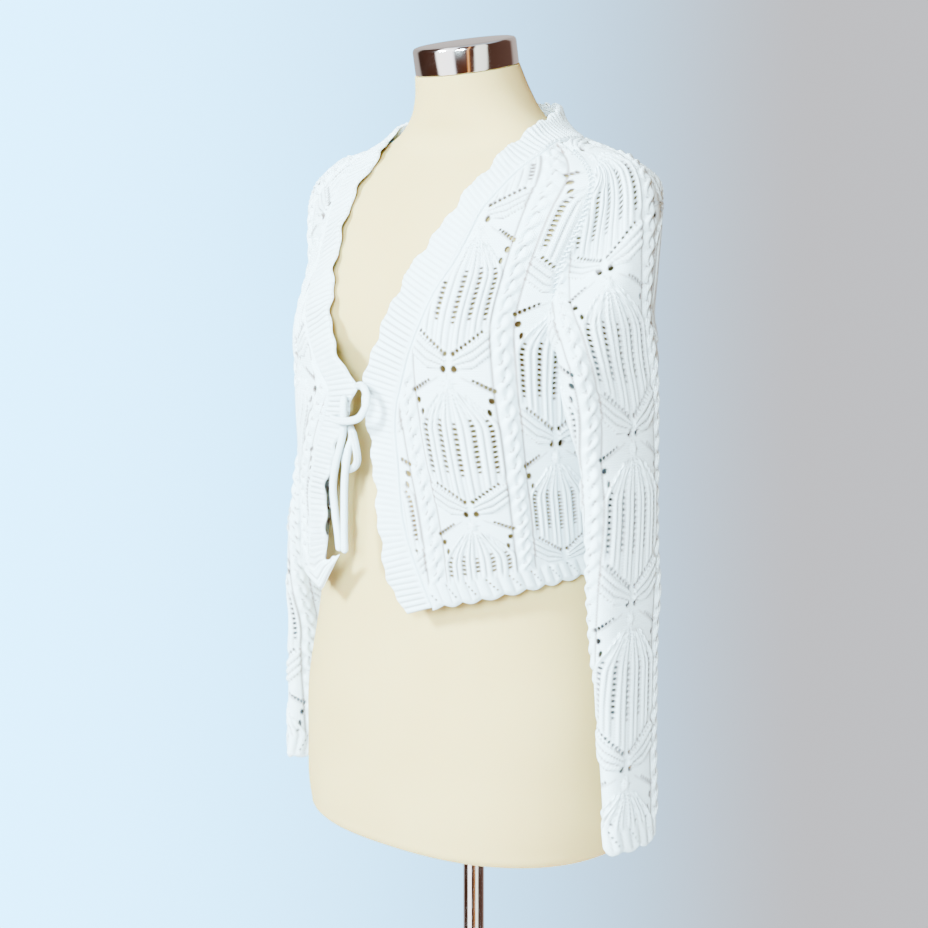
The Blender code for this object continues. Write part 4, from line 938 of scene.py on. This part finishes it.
# Cotton jersey stretched over padding: matte and even, with the faint grain of its fine knit
def creamJersey():
    material, tree, shader, place = newMaterial("cream_jersey")
    stretched = addNode(tree, "ShaderNodeMapping", {"Vector": place, "Scale": (1.0, 1.0, 0.35)})
    grain = addNode(tree, "ShaderNodeTexNoise", {"Vector": stretched, "Scale": jerseyLook["grain"],
                                                 "Detail": 2.0})
    tone = addNode(tree, "ShaderNodeTexNoise", {"Vector": place, "Scale": 9.0, "Detail": 2.0})
    one, other = map(srgb, jerseyLook["tints"])
    tint = addNode(tree, "ShaderNodeMix", {"Factor": tone, 6: one, 7: other}, data_type="RGBA")
    bump = addNode(tree, "ShaderNodeBump", {"Height": grain, "Distance": jerseyLook["bump"],
                                            "Strength": 0.5})
    feed(tree, shader, {"Base Color": tint.outputs[2], "Normal": bump, "Roughness": 0.85,
                        "Specular IOR Level": 0.15, "Subsurface Weight": 0.35,
                        "Subsurface Radius": (1.0, 0.45, 0.20), "Subsurface Scale": 0.03})
    return material


# Chrome plate on turned steel: faint rings from polishing and a little haze, mirror bright or satin
def turnedChrome(name, finish):
    material, tree, shader, place = newMaterial(name)
    flattened = addNode(tree, "ShaderNodeMapping", {"Vector": place, "Scale": (0.02, 0.02, 1.0)})
    rings = addNode(tree, "ShaderNodeTexNoise", {"Vector": flattened, "Scale": chromeLook["rings"],
                                                 "Detail": 2.0})
    haze = addNode(tree, "ShaderNodeTexNoise", {"Vector": place, "Scale": 40.0, "Detail": 3.0})
    least, most = chromeLook[finish]
    rough = addNode(tree, "ShaderNodeMapRange", {0: haze, 1: 0.3, 2: 0.7, 3: least, 4: most})
    bump = addNode(tree, "ShaderNodeBump", {"Height": rings, "Distance": chromeLook["bump"],
                                            "Strength": 0.3})
    feed(tree, shader, {"Roughness": rough, "Normal": bump, "Base Color": srgb(chromeLook["hex"]),
                        "Metallic": 1.0})
    return material


cotton, jersey = cottonKnit(), creamJersey()
chrome, satinChrome = turnedChrome("polished_chrome", "polished"), turnedChrome("satin_chrome", "satin")
print("materials made")


# Camera, light and stage

view = {"distance": 1.70, "azimuth": 42.0, "turn": 0.31, "pitch": 8.35, "height": 1.226, "lens": 73.13}

lamps = {
    "key": {"size": 0.55, "power": 880.0, "place": (-0.6, -2.8, 2.4), "hex": "#D3F3FF"},
    "fill": {"size": 0.8, "power": 700.0, "place": (1.50, -2.55, 1.85), "hex": "#D3F3FF"},
    "behind": {"size": 1.0, "power": 520.0, "place": (-2.0, 2.2, 1.9), "hex": "#EAF4FF"},
}
lampsAim = (0, 0, 1.05)

# Strength and colour of what is round the object
# backLeft and backRight make the camera's backdrop: painted light at the left, painted shadow at the right
glows = {"sky": (0.90, "#FFD6A8"), "backLeft": (10.5, "#62C7FF"), "backRight": (0.92, "#F7F8FF"),
         "overhead": (2.0, "#C6D4E2")}
mirrorGlow = 6.0

# What polished metal mirrors round the camera's side of the room, by degrees from the camera
mirrorBands = ((-180, "#6E6A68"), (-132, "#6E6A68"), (-122, "#1F120D"), (-70, "#2A1710"), (-65, "#FFFFFF"),
               (-28, "#F4F6FF"), (-23, "#2B150B"), (3, "#361B0E"), (6, "#C98A4A"), (9, "#361B0E"),
               (18, "#2B160D"), (22, "#D8DFD6"), (46, "#C9CFC6"), (51, "#2A1A14"), (118, "#33231E"),
               (132, "#6E6663"), (180, "#6E6A68"))

floorPiece = {"radius": 1.15, "sides": 96, "z": -0.0005, "tints": ("#DDE2E6", "#D6DBE0")}


def placeCamera():
    a, distance = math.radians(view["azimuth"]), view["distance"]
    camera = bpy.data.cameras.new("camera")
    camera.sensor_width, camera.lens = 36.0, view["lens"]
    camera.clip_start, camera.clip_end = 0.05, 50
    holder = bpy.data.objects.new("camera", camera)
    scene.collection.objects.link(holder)
    holder.location = (math.sin(a) * distance, -math.cos(a) * distance, view["height"])
    holder.rotation_euler = (math.pi / 2 - math.radians(view["pitch"]), 0, a + math.radians(view["turn"]))
    scene.camera = holder


# Square lamps; the one behind isn't mirrored in the chrome
def placeLamps():
    for name, lamp in lamps.items():
        data = bpy.data.lights.new(name, "AREA")
        data.size, data.energy, data.color = lamp["size"], lamp["power"], srgb(lamp["hex"])[:3]
        holder = bpy.data.objects.new(name, data)
        holder.location = lamp["place"]
        aim = Vector(lampsAim) - Vector(lamp["place"])
        holder.rotation_euler = aim.to_track_quat("-Z", "Y").to_euler()
        holder.visible_glossy = name != "behind"
        scene.collection.objects.link(holder)


# Camera rays see a backdrop that turns from pale blue at the left to grey at the right, painted light
# and painted shadow that light nothing; mirror rays see the bands with a pale ceiling, and all other light
# comes from a warm even sky
def makeWorld():
    world = bpy.data.worlds.new("studio")
    scene.world = world
    world.use_nodes = True
    tree = world.node_tree
    tree.nodes.clear()
    sky, seenLeft, seenRight, overhead = (
        addNode(tree, "ShaderNodeBackground", {"Color": srgb(hexText), "Strength": power})
        for power, hexText in glows.values())
    way = addNode(tree, "ShaderNodeTexCoord").outputs["Generated"]
    x, y, z = addNode(tree, "ShaderNodeSeparateXYZ", {0: way}).outputs
    a = math.radians(view["azimuth"])
    partRight = addNode(tree, "ShaderNodeMath", {0: x, 1: math.cos(a)}, operation="MULTIPLY")
    right = addNode(tree, "ShaderNodeMath", {0: y, 1: math.sin(a), 2: partRight}, operation="MULTIPLY_ADD")
    partAhead = addNode(tree, "ShaderNodeMath", {0: y, 1: -math.cos(a)}, operation="MULTIPLY")
    ahead = addNode(tree, "ShaderNodeMath", {0: x, 1: math.sin(a), 2: partAhead}, operation="MULTIPLY_ADD")
    turn = addNode(tree, "ShaderNodeMath", {0: right, 1: ahead}, operation="ARCTAN2")
    place = addNode(tree, "ShaderNodeMapRange", {0: turn, 1: -math.pi, 2: math.pi})
    bands = addNode(tree, "ShaderNodeValToRGB", {"Fac": place})
    stops = bands.color_ramp.elements
    for index, (degrees, hexText) in enumerate(mirrorBands):
        share = (degrees + 180) / 360
        stop = stops.new(share) if index > 1 else stops[index]
        stop.position, stop.color = share, srgb(hexText)
    upright = addNode(tree, "ShaderNodeBackground", {"Color": bands, "Strength": mirrorGlow})
    high = addNode(tree, "ShaderNodeMapRange", {0: z, 1: 0.72, 2: 0.86})
    mirrored = addNode(tree, "ShaderNodeMixShader", {0: high, 1: upright, 2: overhead})
    toRight = addNode(tree, "ShaderNodeMapRange", {0: right, 1: -0.29, 2: 0.18},
                      interpolation_type="SMOOTHSTEP")
    seen = addNode(tree, "ShaderNodeMixShader", {0: toRight, 1: seenLeft, 2: seenRight})
    path = addNode(tree, "ShaderNodeLightPath").outputs
    other = addNode(tree, "ShaderNodeMixShader", {0: path["Is Glossy Ray"], 1: sky, 2: mirrored})
    room = addNode(tree, "ShaderNodeMixShader", {0: path["Is Camera Ray"], 1: other, 2: seen})
    addNode(tree, "ShaderNodeOutputWorld", {"Surface": room})


# Matte painted board under the stand
def makeFloor():
    material, tree, shader, place = newMaterial("painted_floor")
    tone = addNode(tree, "ShaderNodeTexNoise", {"Vector": place, "Scale": 3.0, "Detail": 3.0})
    one, other = map(srgb, floorPiece["tints"])
    tint = addNode(tree, "ShaderNodeMix", {"Factor": tone, 6: one, 7: other}, data_type="RGBA")
    feed(tree, shader, {"Base Color": tint.outputs[2], "Roughness": 0.7})
    radius, sides = floorPiece["radius"], floorPiece["sides"]
    ring = [(radius * math.cos(i * 2 * math.pi / sides), radius * math.sin(i * 2 * math.pi / sides),
             floorPiece["z"]) for i in range(sides)]
    makeMesh("floor", ring, [tuple(range(sides))], material)


placeCamera()
makeWorld()
placeLamps()
makeFloor()
print("camera, light and floor made")


# Puts a piece on the body that never moves, in the place of the solids that it stands for
def settle(piece, nodes):
    for node in nodes:
        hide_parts(node)
    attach(piece, "root")


# A skin over rings of points, closed by a face at each end
def ringedMesh(name, rings, material, sharp):
    count = len(rings[0])
    faces = [tuple(range(count))[::-1]]
    for k in range(len(rings) - 1):
        for i in range(count):
            j = (i + 1) % count
            faces.append((k * count + i, k * count + j, (k + 1) * count + j, (k + 1) * count + i))
    faces.append(tuple((len(rings) - 1) * count + i for i in range(count)))
    return makeMesh(name, np.concatenate(rings), faces, material, sharp)


# Ties

ties = {"radius": 0.0033, "sides": 24, "columns": 2.5, "stitch": 0.0030, "step": 0.0012}

# Routes of the ties, (x, forward, z) in millimetres over the underside of the torso
tieRoutes = {
    # from the wearer's right front down behind the wrap to its free end
    "tie_right": [(-11, 152.5, 396), (-9, 156, 388), (-8, 157, 376), (-10, 156, 364), (-14, 155.5, 352),
                  (-20, 155.5, 335), (-22.5, 156, 317), (-20.5, 156, 296), (-17, 156, 275),
                  (-15.3, 156, 261)],
    # from the wearer's left front out in a loop, across the front, round behind and down
    "tie_left": [(4, 152, 405), (14, 156, 406), (23, 160, 400), (25.5, 163, 391), (20, 165, 381),
                 (9, 165, 377), (-4, 165, 376), (-14, 163.5, 376.5), (-18, 157.5, 377),
                 (-15.5, 151.5, 376), (-9, 149, 370), (-5, 150, 360), (-5.5, 154, 350), (-6.8, 156, 335),
                 (-8, 156.5, 319), (-8.6, 156.5, 297), (-8.8, 156.5, 276), (-8.5, 156.5, 260)],
    # the small loop that hangs behind them
    "bow_loop": [(1.5, 157, 369), (3.5, 156, 361), (5, 155, 352), (3, 151.5, 342), (-3, 149, 335),
                 (-12, 148.5, 332), (-16, 148, 338), (-14, 147.5, 350)],
}


# Evenly spaced points of a smooth curve through a route, and its length
def smoothRoute(points, spacing):
    p = np.array(points, float)
    p = np.vstack([2 * p[0] - p[1], p, 2 * p[-1] - p[-2]])
    t = np.linspace(0, 1, 24, endpoint=False)[:, None]
    dense = [0.5 * (2 * p[i] + (p[i + 1] - p[i - 1]) * t
                    + (2 * p[i - 1] - 5 * p[i] + 4 * p[i + 1] - p[i + 2]) * t**2
                    + (3 * p[i] - p[i - 1] - 3 * p[i + 1] + p[i + 2]) * t**3) for i in range(1, len(p) - 2)]
    dense = np.vstack(dense + [p[-2][None]])
    run = runAlong(dense)
    wanted = np.linspace(0, run[-1], max(int(round(run[-1] / spacing)), 4) + 1)
    return np.stack([np.interp(wanted, run, dense[:, k]) for k in range(3)], -1), run[-1]


# Two turning-free directions across a path, at each of its points
def framesAlong(path):
    tangent = np.gradient(path, axis=0)
    tangent /= np.linalg.norm(tangent, axis=1)[:, None]
    first = np.cross(tangent[0], (0.3, 0.1, 1.0))
    across = [first / np.linalg.norm(first)]
    for t in tangent[1:]:
        a = across[-1] - t * np.dot(across[-1], t)
        across.append(a / np.linalg.norm(a))
    return np.array(across), np.cross(tangent, across)


# Knitted cord: a tube whose stitches run along it in columns
def tieCord(name, route):
    radius, sides = ties["radius"], ties["sides"]
    world = [(x / 1000, -forward / 1000, lift(z / 1000)) for x, forward, z in route]
    path, length = smoothRoute(world, ties["step"])
    across, other = framesAlong(path)
    run = np.linspace(0, length, len(path))
    rings, places = [], []
    for i, centre in enumerate(path):
        end = min(run[i], length - run[i])
        share = math.sqrt(max(1 - max(1 - end / radius, 0) ** 2, 0.05))
        ring = []
        for k in range(sides):
            a = 2 * math.pi * k / sides
            groove = abs(math.sin(ties["columns"] * a))
            stitch = 0.5 + 0.5 * math.cos(2 * math.pi * (run[i] / ties["stitch"] + 0.5 * groove))
            r = radius * share * (0.90 + 0.10 * groove ** 0.5 * (0.6 + 0.4 * stitch))
            ring.append(centre + r * (math.cos(a) * across[i] + math.sin(a) * other[i]))
            places.append((k / sides * 2 * math.pi * radius, run[i]))
        rings.append(ring)
    piece = ringedMesh(name, rings, cotton, 60)
    addCloth(piece, np.array(places), np.zeros(len(places)))
    return piece, path, length


for node, route in tieRoutes.items():
    piece, path, length = tieCord(node + "_knitted", route)
    settle(piece, [node])
print("ties made")


# Dress form and stand

stand = {"plate": ((0.166, 0.0), (0.1695, 0.0006), (0.170, 0.002), (0.170, 0.007), (0.1690, 0.0088),
                   (0.166, 0.010), (0.12, 0.0121), (0.055, 0.0160), (0.034, 0.0176), (0.024, 0.018)),
         "tube": ((0.0187, 0.0183), (0.0187, 0.0350), (0.0178, 0.0370), (0.0127, 0.042), (0.0127, 0.3895),
                  (0.0152, 0.3915), (0.0157, 0.393), (0.0157, 0.4185), (0.0150, 0.420), (0.011, 0.420)),
         "poleRadius": 0.0098, "poleFoot": 0.4203, "flange": 0.034, "gap": 0.0003}

jerseySeam = {"z": 0.009, "depth": 0.0005, "width": 0.0012, "radius": 0.14}


# Rings of a turned profile of (radius, height)
def turned(profile, sides=96):
    a = np.arange(sides) * 2 * math.pi / sides
    return [np.stack([r * np.cos(a), r * np.sin(a), np.full(sides, z)], -1) for r, z in profile]


# The jersey cover, with its hem seam just over the bottom edge
def makeForm():
    heights = np.concatenate([[-0.009, -0.0086, -0.0075, -0.006, -0.003, 0.0, 0.003],
                              np.arange(0.007, 0.667, 0.005), [formTable["z"][-1]]])
    angles = np.arange(0, 360, 2.5)
    rings = []
    for z in heights:
        p = formPoint(angles, np.full_like(angles, z))
        seam = jerseySeam["depth"] * math.exp(-((z - jerseySeam["z"]) / jerseySeam["width"]) ** 2)
        p[:, :2] *= 1 - seam / jerseySeam["radius"]
        rings.append(p)
    bottom = rings[0].copy()
    bottom[:, :2] *= 0.9
    return ringedMesh("form_torso_jersey", [bottom] + rings, jersey, 50)


def makeCap():
    radius, tall = formPiece["capRadius"], formPiece["capHeight"]
    tilt = math.radians(formPiece["capTilt"])
    profile = [(radius - 0.0002, 0.0), (radius + 0.0008, 0.0006), (radius + 0.0010, 0.0016),
               (radius + 0.0010, tall - 0.0040), (radius + 0.0006, tall - 0.0022),
               (radius - 0.0006, tall - 0.0008), (radius - 0.0030, tall - 0.0001),
               (radius - 0.0045, tall), (radius * 0.5, tall + 0.0006), (0.002, tall + 0.0007)]
    foot = formPoint(np.array([0.0, 180.0]), np.array([formTable["z"][-1]] * 2)).mean(axis=0)
    place = np.array([0.0, foot[1] - math.sin(tilt) * stand["gap"], foot[2] + stand["gap"]])
    turn = np.array([[1, 0, 0], [0, math.cos(tilt), -math.sin(tilt)], [0, math.sin(tilt), math.cos(tilt)]])
    return ringedMesh("neck_cap_chrome", [ring @ turn.T + place for ring in turned(profile)], chrome, 30)


# The pole and the flange that carries the form
def poleProfile():
    top = lift(formTable["z"][0]) - stand["gap"]
    return ((stand["poleRadius"], stand["poleFoot"]), (stand["poleRadius"], top - 0.006),
            (stand["flange"], top - 0.0055), (stand["flange"], top))


formShape = makeForm()
bodyTree = BVHTree.FromObject(formShape, bpy.context.evaluated_depsgraph_get())
settle(formShape, ["form_torso"])
for node, profile, finish in (("base_plate", stand["plate"], satinChrome),
                              ("stand_tube", stand["tube"], chrome), ("stand_pole", poleProfile(), chrome)):
    settle(ringedMesh(node + "_chrome", turned(profile), finish, 30), [node])
settle(makeCap(), ["neck_cap"])
print("form and stand made")


# Body panels and sleeves

def declareSheet(piece, nodes):
    settle(piece, nodes)


coarser = 1.0
for side, word in ((1, "left"), (-1, "right")):
    piece, flat, area = knittedSheet(f"front_{word}_knit", Body(side, True, topZ), "body",
                                     coarser * knit["frontSpacing"])
    declareSheet(piece, [f"front_{word}"])
    piece, flat, area = knittedSheet(f"sleeve_{word}_knit", Sleeve(side), "sleeve",
                                     coarser * knit["sleeveSpacing"])
    declareSheet(piece, [f"sleeve_{word}_front", f"sleeve_{word}_back"])
piece, flat, area = knittedSheet("back_knit", Body(1, False, leftBand["seam_z"][-1] - 0.0008), "body",
                                 coarser * knit["backSpacing"])
declareSheet(piece, ["back"])
print("panels and sleeves made")


# Bands

bandPieces = {"cloth": 0.0024, "scallopPitch": 0.021, "scallop": 0.0026, "ribPitch": 0.00525,
              "ribRise": 0.0018, "stepsPerScallop": 16, "across": 20, "edgeRound": 0.0028,
              "ruffle": 0.0016, "cornerDip": (0.022, 0.004, 0.0)}


# Faces of a slab of count by across points, its outer points first and its inner points after them
def slabFaces(count, across):
    total = count * across
    faces = []
    for i in range(count - 1):
        for j in range(across - 1):
            a = i * across + j
            faces.append((a, a + across, a + across + 1, a + 1))
            faces.append((a + total + 1, a + total + across + 1, a + total + across, a + total))
    for i in range(count - 1):
        a, b = i * across, (i + 1) * across
        faces.append((a, a + total, b + total, b))
        a, b = a + across - 1, b + across - 1
        faces.append((a, b, b + total, a + total))
    for j in range(across - 1):
        faces.append((j, j + 1, j + 1 + total, j + total))
        a = (count - 1) * across + j
        faces.append((a + 1, a, a + total, a + 1 + total))
    return faces


# Ribbed trim: crosswise ribs, a scalloped edge that waves in and out, and rounded edges. Gives the piece
# and its flat size.
def makeBand(name, side):
    pitch, across = bandPieces["scallopPitch"], bandPieces["across"]
    paths = {edge: bandLine(side, edge) for edge in ("seam", "free")}
    run = runAlong(clothPoint((paths["seam"][:, 0] + paths["free"][:, 0]) / 2,
                              (paths["seam"][:, 1] + paths["free"][:, 1]) / 2))
    count = int(round(run[-1] / pitch)) * bandPieces["stepsPerScallop"] + 1
    wanted = np.linspace(0, run[-1], count)
    seam, free = (np.stack([np.interp(wanted, run, path[:, k]) for k in range(2)], -1)
                  for path in paths.values())
    t = np.linspace(0, 1, across)
    angle = seam[:, :1] * (1 - t) + free[:, :1] * t
    z = seam[:, 1:] * (1 - t) + free[:, 1:] * t
    if side < 0:
        # the lower corner is turned up, so the middle of its band hangs lower
        row = np.interp(wanted, run, np.linspace(0, rightBand["row"][-1], len(run)))
        dip = np.interp(row, range(len(bandPieces["cornerDip"])), bandPieces["cornerDip"])
        z -= dip[:, None] * (1 - np.abs(2 * t - 1))
    inner = clothPoint(angle, z)
    along = np.gradient(inner, axis=0)
    outward = inner[:, -1] - inner[:, 0]
    outward /= np.linalg.norm(outward, axis=1)[:, None]
    normal = np.cross(along, outward[:, None, :])
    normal /= np.linalg.norm(normal, axis=2)[:, :, None]
    flip = np.sign((normal[:, :, :2] * inner[:, :, :2]).sum(axis=2))[:, :, None]
    normal *= np.where(flip == 0, 1, flip)
    turn = math.pi * (wanted / pitch * 4) / 4
    edge = step01(t, 0.45, 1.0)
    waves = np.sin(turn) ** 2 * step01(wanted, 0.004, 0.024)
    inner += outward[:, None, :] * (bandPieces["scallop"] * waves[:, None] * edge)[:, :, None]
    ruffle = (bandPieces["ruffle"] + bandPieces["ruffle"] * np.cos(turn)) * step01(wanted, 0.0, 0.020)
    inner += normal * (ruffle[:, None] * edge)[:, :, None]
    inner[-1, :, 0] = 0.0
    flatInner = rested(inner.reshape(-1, 3))
    width = np.linalg.norm(inner[:, -1] - inner[:, 0], axis=1)
    toEdge = np.minimum(t, 1 - t)[None, :] * width[:, None]
    rounded = np.sqrt(np.clip(1 - (1 - np.clip(toEdge / bandPieces["edgeRound"], 0, 1)) ** 2, 0, 1))
    rib = np.abs(np.sin(math.pi * wanted / bandPieces["ribPitch"])) ** 0.6
    ribShare = step01(t, 0.02, 0.10) * (1 - 0.5 * step01(t, 0.85, 1.0))
    thick = (0.3 + 0.7 * rounded) * (bandPieces["cloth"] * 0.75 + bandPieces["ribRise"] * rib[:, None]
                                     * ribShare)
    outer = flatInner + normal.reshape(-1, 3) * thick.reshape(-1, 1)
    outer.reshape(count, across, 3)[-1, :, 0] = 0.0
    faces = slabFaces(count, across)
    if side < 0:
        faces = [f[::-1] for f in faces]
    piece = makeMesh(name, np.vstack([outer, flatInner]) * (side, 1, 1), faces, cotton, 60)
    uv = np.stack([np.repeat(wanted, across), (t[None, :] * width[:, None]).ravel()], -1)
    # Painted shade in the valleys between the band's ribs
    paintedValleyShade = bell(rib, 0.45)[:, None] * ribShare * step01(t, 0.0, 0.2)
    addCloth(piece, np.vstack([uv, uv]), np.concatenate([0.75 * paintedValleyShade.ravel(), np.zeros(len(uv))]))
    return piece, (float(width.mean()), float(run[-1]))


for side, word in ((1, "left"), (-1, "right")):
    piece, flat = makeBand(f"band_{word}_rib", side)
    declareSheet(piece, [f"band_{word}"])
print("bands made")


# Raglan seams, joined by hand with a row of slanted yarn stitches

seamStitches = {"pitch": 0.0046, "reach": 0.0050, "yarn": 0.00075, "rise": 0.0036, "slant": 0.55,
                "loose": 0.16, "seed": 7}
seamPlace = {"sunk": 0.0004, "start": 0.012, "points": 160}


# Stitches set at even steps along a seam line, each a short arch of yarn across it
def stitchTree():
    tree = bpy.data.node_groups.new("seamStitches", "GeometryNodeTree")

    def socket(name, kind, in_out="INPUT"):
        return tree.interface.new_socket(name=name, in_out=in_out, socket_type="NodeSocket" + kind).identifier

    socket("Seam", "Geometry")
    measures = ("Pitch", "Reach", "Yarn", "Rise", "Slant", "Loose")
    names = {name.lower(): socket(name, "Float") for name in measures}
    names["seed"] = socket("Seed", "Int")
    names["yarnMaterial"] = socket("Yarn Material", "Material")
    socket("Stitches", "Geometry", "OUTPUT")
    given = addNode(tree, "NodeGroupInput").outputs
    seam = addNode(tree, "GeometryNodeMeshToCurve", {"Mesh": given["Seam"]})
    steps = addNode(tree, "GeometryNodeResampleCurve", {"Curve": seam, "Length": given["Pitch"]},
                    mode="LENGTH")
    shares = [addNode(tree, "ShaderNodeMath", {0: given["Reach"], 1: share}, operation="MULTIPLY")
              for share in (-0.5, 0.5)]
    start, end = (addNode(tree, "ShaderNodeCombineXYZ", {"X": share}) for share in shares)
    top = addNode(tree, "ShaderNodeCombineXYZ", {"Z": given["Rise"]})
    arch = addNode(tree, "GeometryNodeCurveQuadraticBezier", {"Resolution": 6, "Start": start,
                                                              "Middle": top, "End": end})
    ring = addNode(tree, "GeometryNodeCurvePrimitiveCircle", {"Resolution": 6, "Radius": given["Yarn"]})
    yarn = addNode(tree, "GeometryNodeCurveToMesh", {"Curve": arch, "Profile Curve": ring,
                                                     "Fill Caps": True})
    out = addNode(tree, "GeometryNodeInputNamedAttribute", {"Name": "wayOut"}, data_type="FLOAT_VECTOR")
    along = addNode(tree, "GeometryNodeInputTangent")
    standing = addNode(tree, "FunctionNodeAlignRotationToVector", {"Vector": out}, axis="Z")
    facing = addNode(tree, "FunctionNodeAlignRotationToVector", {"Rotation": standing, "Vector": along},
                     axis="Y", pivot_axis="Z")
    most, least = (addNode(tree, "ShaderNodeMath", {0: given["Slant"], 1: given["Loose"]},
                           operation=operation) for operation in ("ADD", "SUBTRACT"))
    angle = addNode(tree, "FunctionNodeRandomValue", {2: least, 3: most, "Seed": given["Seed"]},
                    data_type="FLOAT").outputs[1]
    turn = addNode(tree, "FunctionNodeAxisAngleToRotation", {"Axis": (0, 0, 1), "Angle": angle})
    slanted = addNode(tree, "FunctionNodeRotateRotation", {0: facing, 1: turn}, rotation_space="LOCAL")
    placed = addNode(tree, "GeometryNodeInstanceOnPoints", {"Points": steps, "Instance": yarn,
                                                            "Rotation": slanted})
    real = addNode(tree, "GeometryNodeRealizeInstances", {"Geometry": placed})
    coloured = addNode(tree, "GeometryNodeSetMaterial", {"Geometry": real,
                                                         "Material": given["Yarn Material"]})
    addNode(tree, "NodeGroupOutput", {"Stitches": coloured})
    return tree, names


# Points up the middle of a raglan seam on the cloth's outer face, and the way out at each
def raglanLine(side, front):
    surface = Body(side, front, topZ)
    limit = float((leftBand if side > 0 else rightBand)["seam_z"][-1])
    ends = formPiece["underarmZ"] + seamPlace["start"], limit - seamPlace["start"]
    vs = np.linspace(*np.interp(ends, surface.zKnown, surface.vKnown), seamPlace["points"])
    left, right = surface.ends(vs)
    points, out = surface.placed(left if side > 0 and not front else right, vs)
    return points + out * (knit["cloth"] - seamPlace["sunk"]), out


def makeStitches(name, lines, tree, names):
    points, outward = (np.concatenate(both) for both in zip(*lines))
    starts = np.cumsum([0] + [len(p) for p, _ in lines])
    edges = [(i, i + 1) for a, b in zip(starts, starts[1:]) for i in range(a, b - 1)]
    mesh = bpy.data.meshes.new(name)
    mesh.from_pydata(points.tolist(), edges, [])
    wayOut = mesh.attributes.new("wayOut", "FLOAT_VECTOR", "POINT")
    wayOut.data.foreach_set("vector", outward.astype(np.float32).ravel())
    guide = bpy.data.objects.new(name + "_guide", mesh)
    scene.collection.objects.link(guide)
    modifier = guide.modifiers.new("stitches", "NODES")
    modifier.node_group = tree
    for key, identifier in names.items():
        modifier[identifier] = cotton if key == "yarnMaterial" else seamStitches[key]
    made = bpy.data.meshes.new_from_object(guide.evaluated_get(bpy.context.evaluated_depsgraph_get()))
    bpy.data.objects.remove(guide)
    piece = bpy.data.objects.new(name, made)
    scene.collection.objects.link(piece)
    made.shade_smooth()
    at = np.zeros(len(made.vertices) * 3, np.float32)
    made.vertices.foreach_get("co", at)
    for layer in list(made.uv_layers):
        made.uv_layers.remove(layer)
    addCloth(piece, at.reshape(-1, 3)[:, [0, 2]], np.zeros(len(made.vertices)))
    return piece


tree, names = stitchTree()
for side, word in ((1, "left"), (-1, "right")):
    lines = [raglanLine(side, True), raglanLine(side, False)]
    piece = makeStitches(f"raglan_stitches_{word}", lines, tree, names)
    settle(piece, [])
    print("raglan stitches", word, len(piece.data.polygons), "faces")
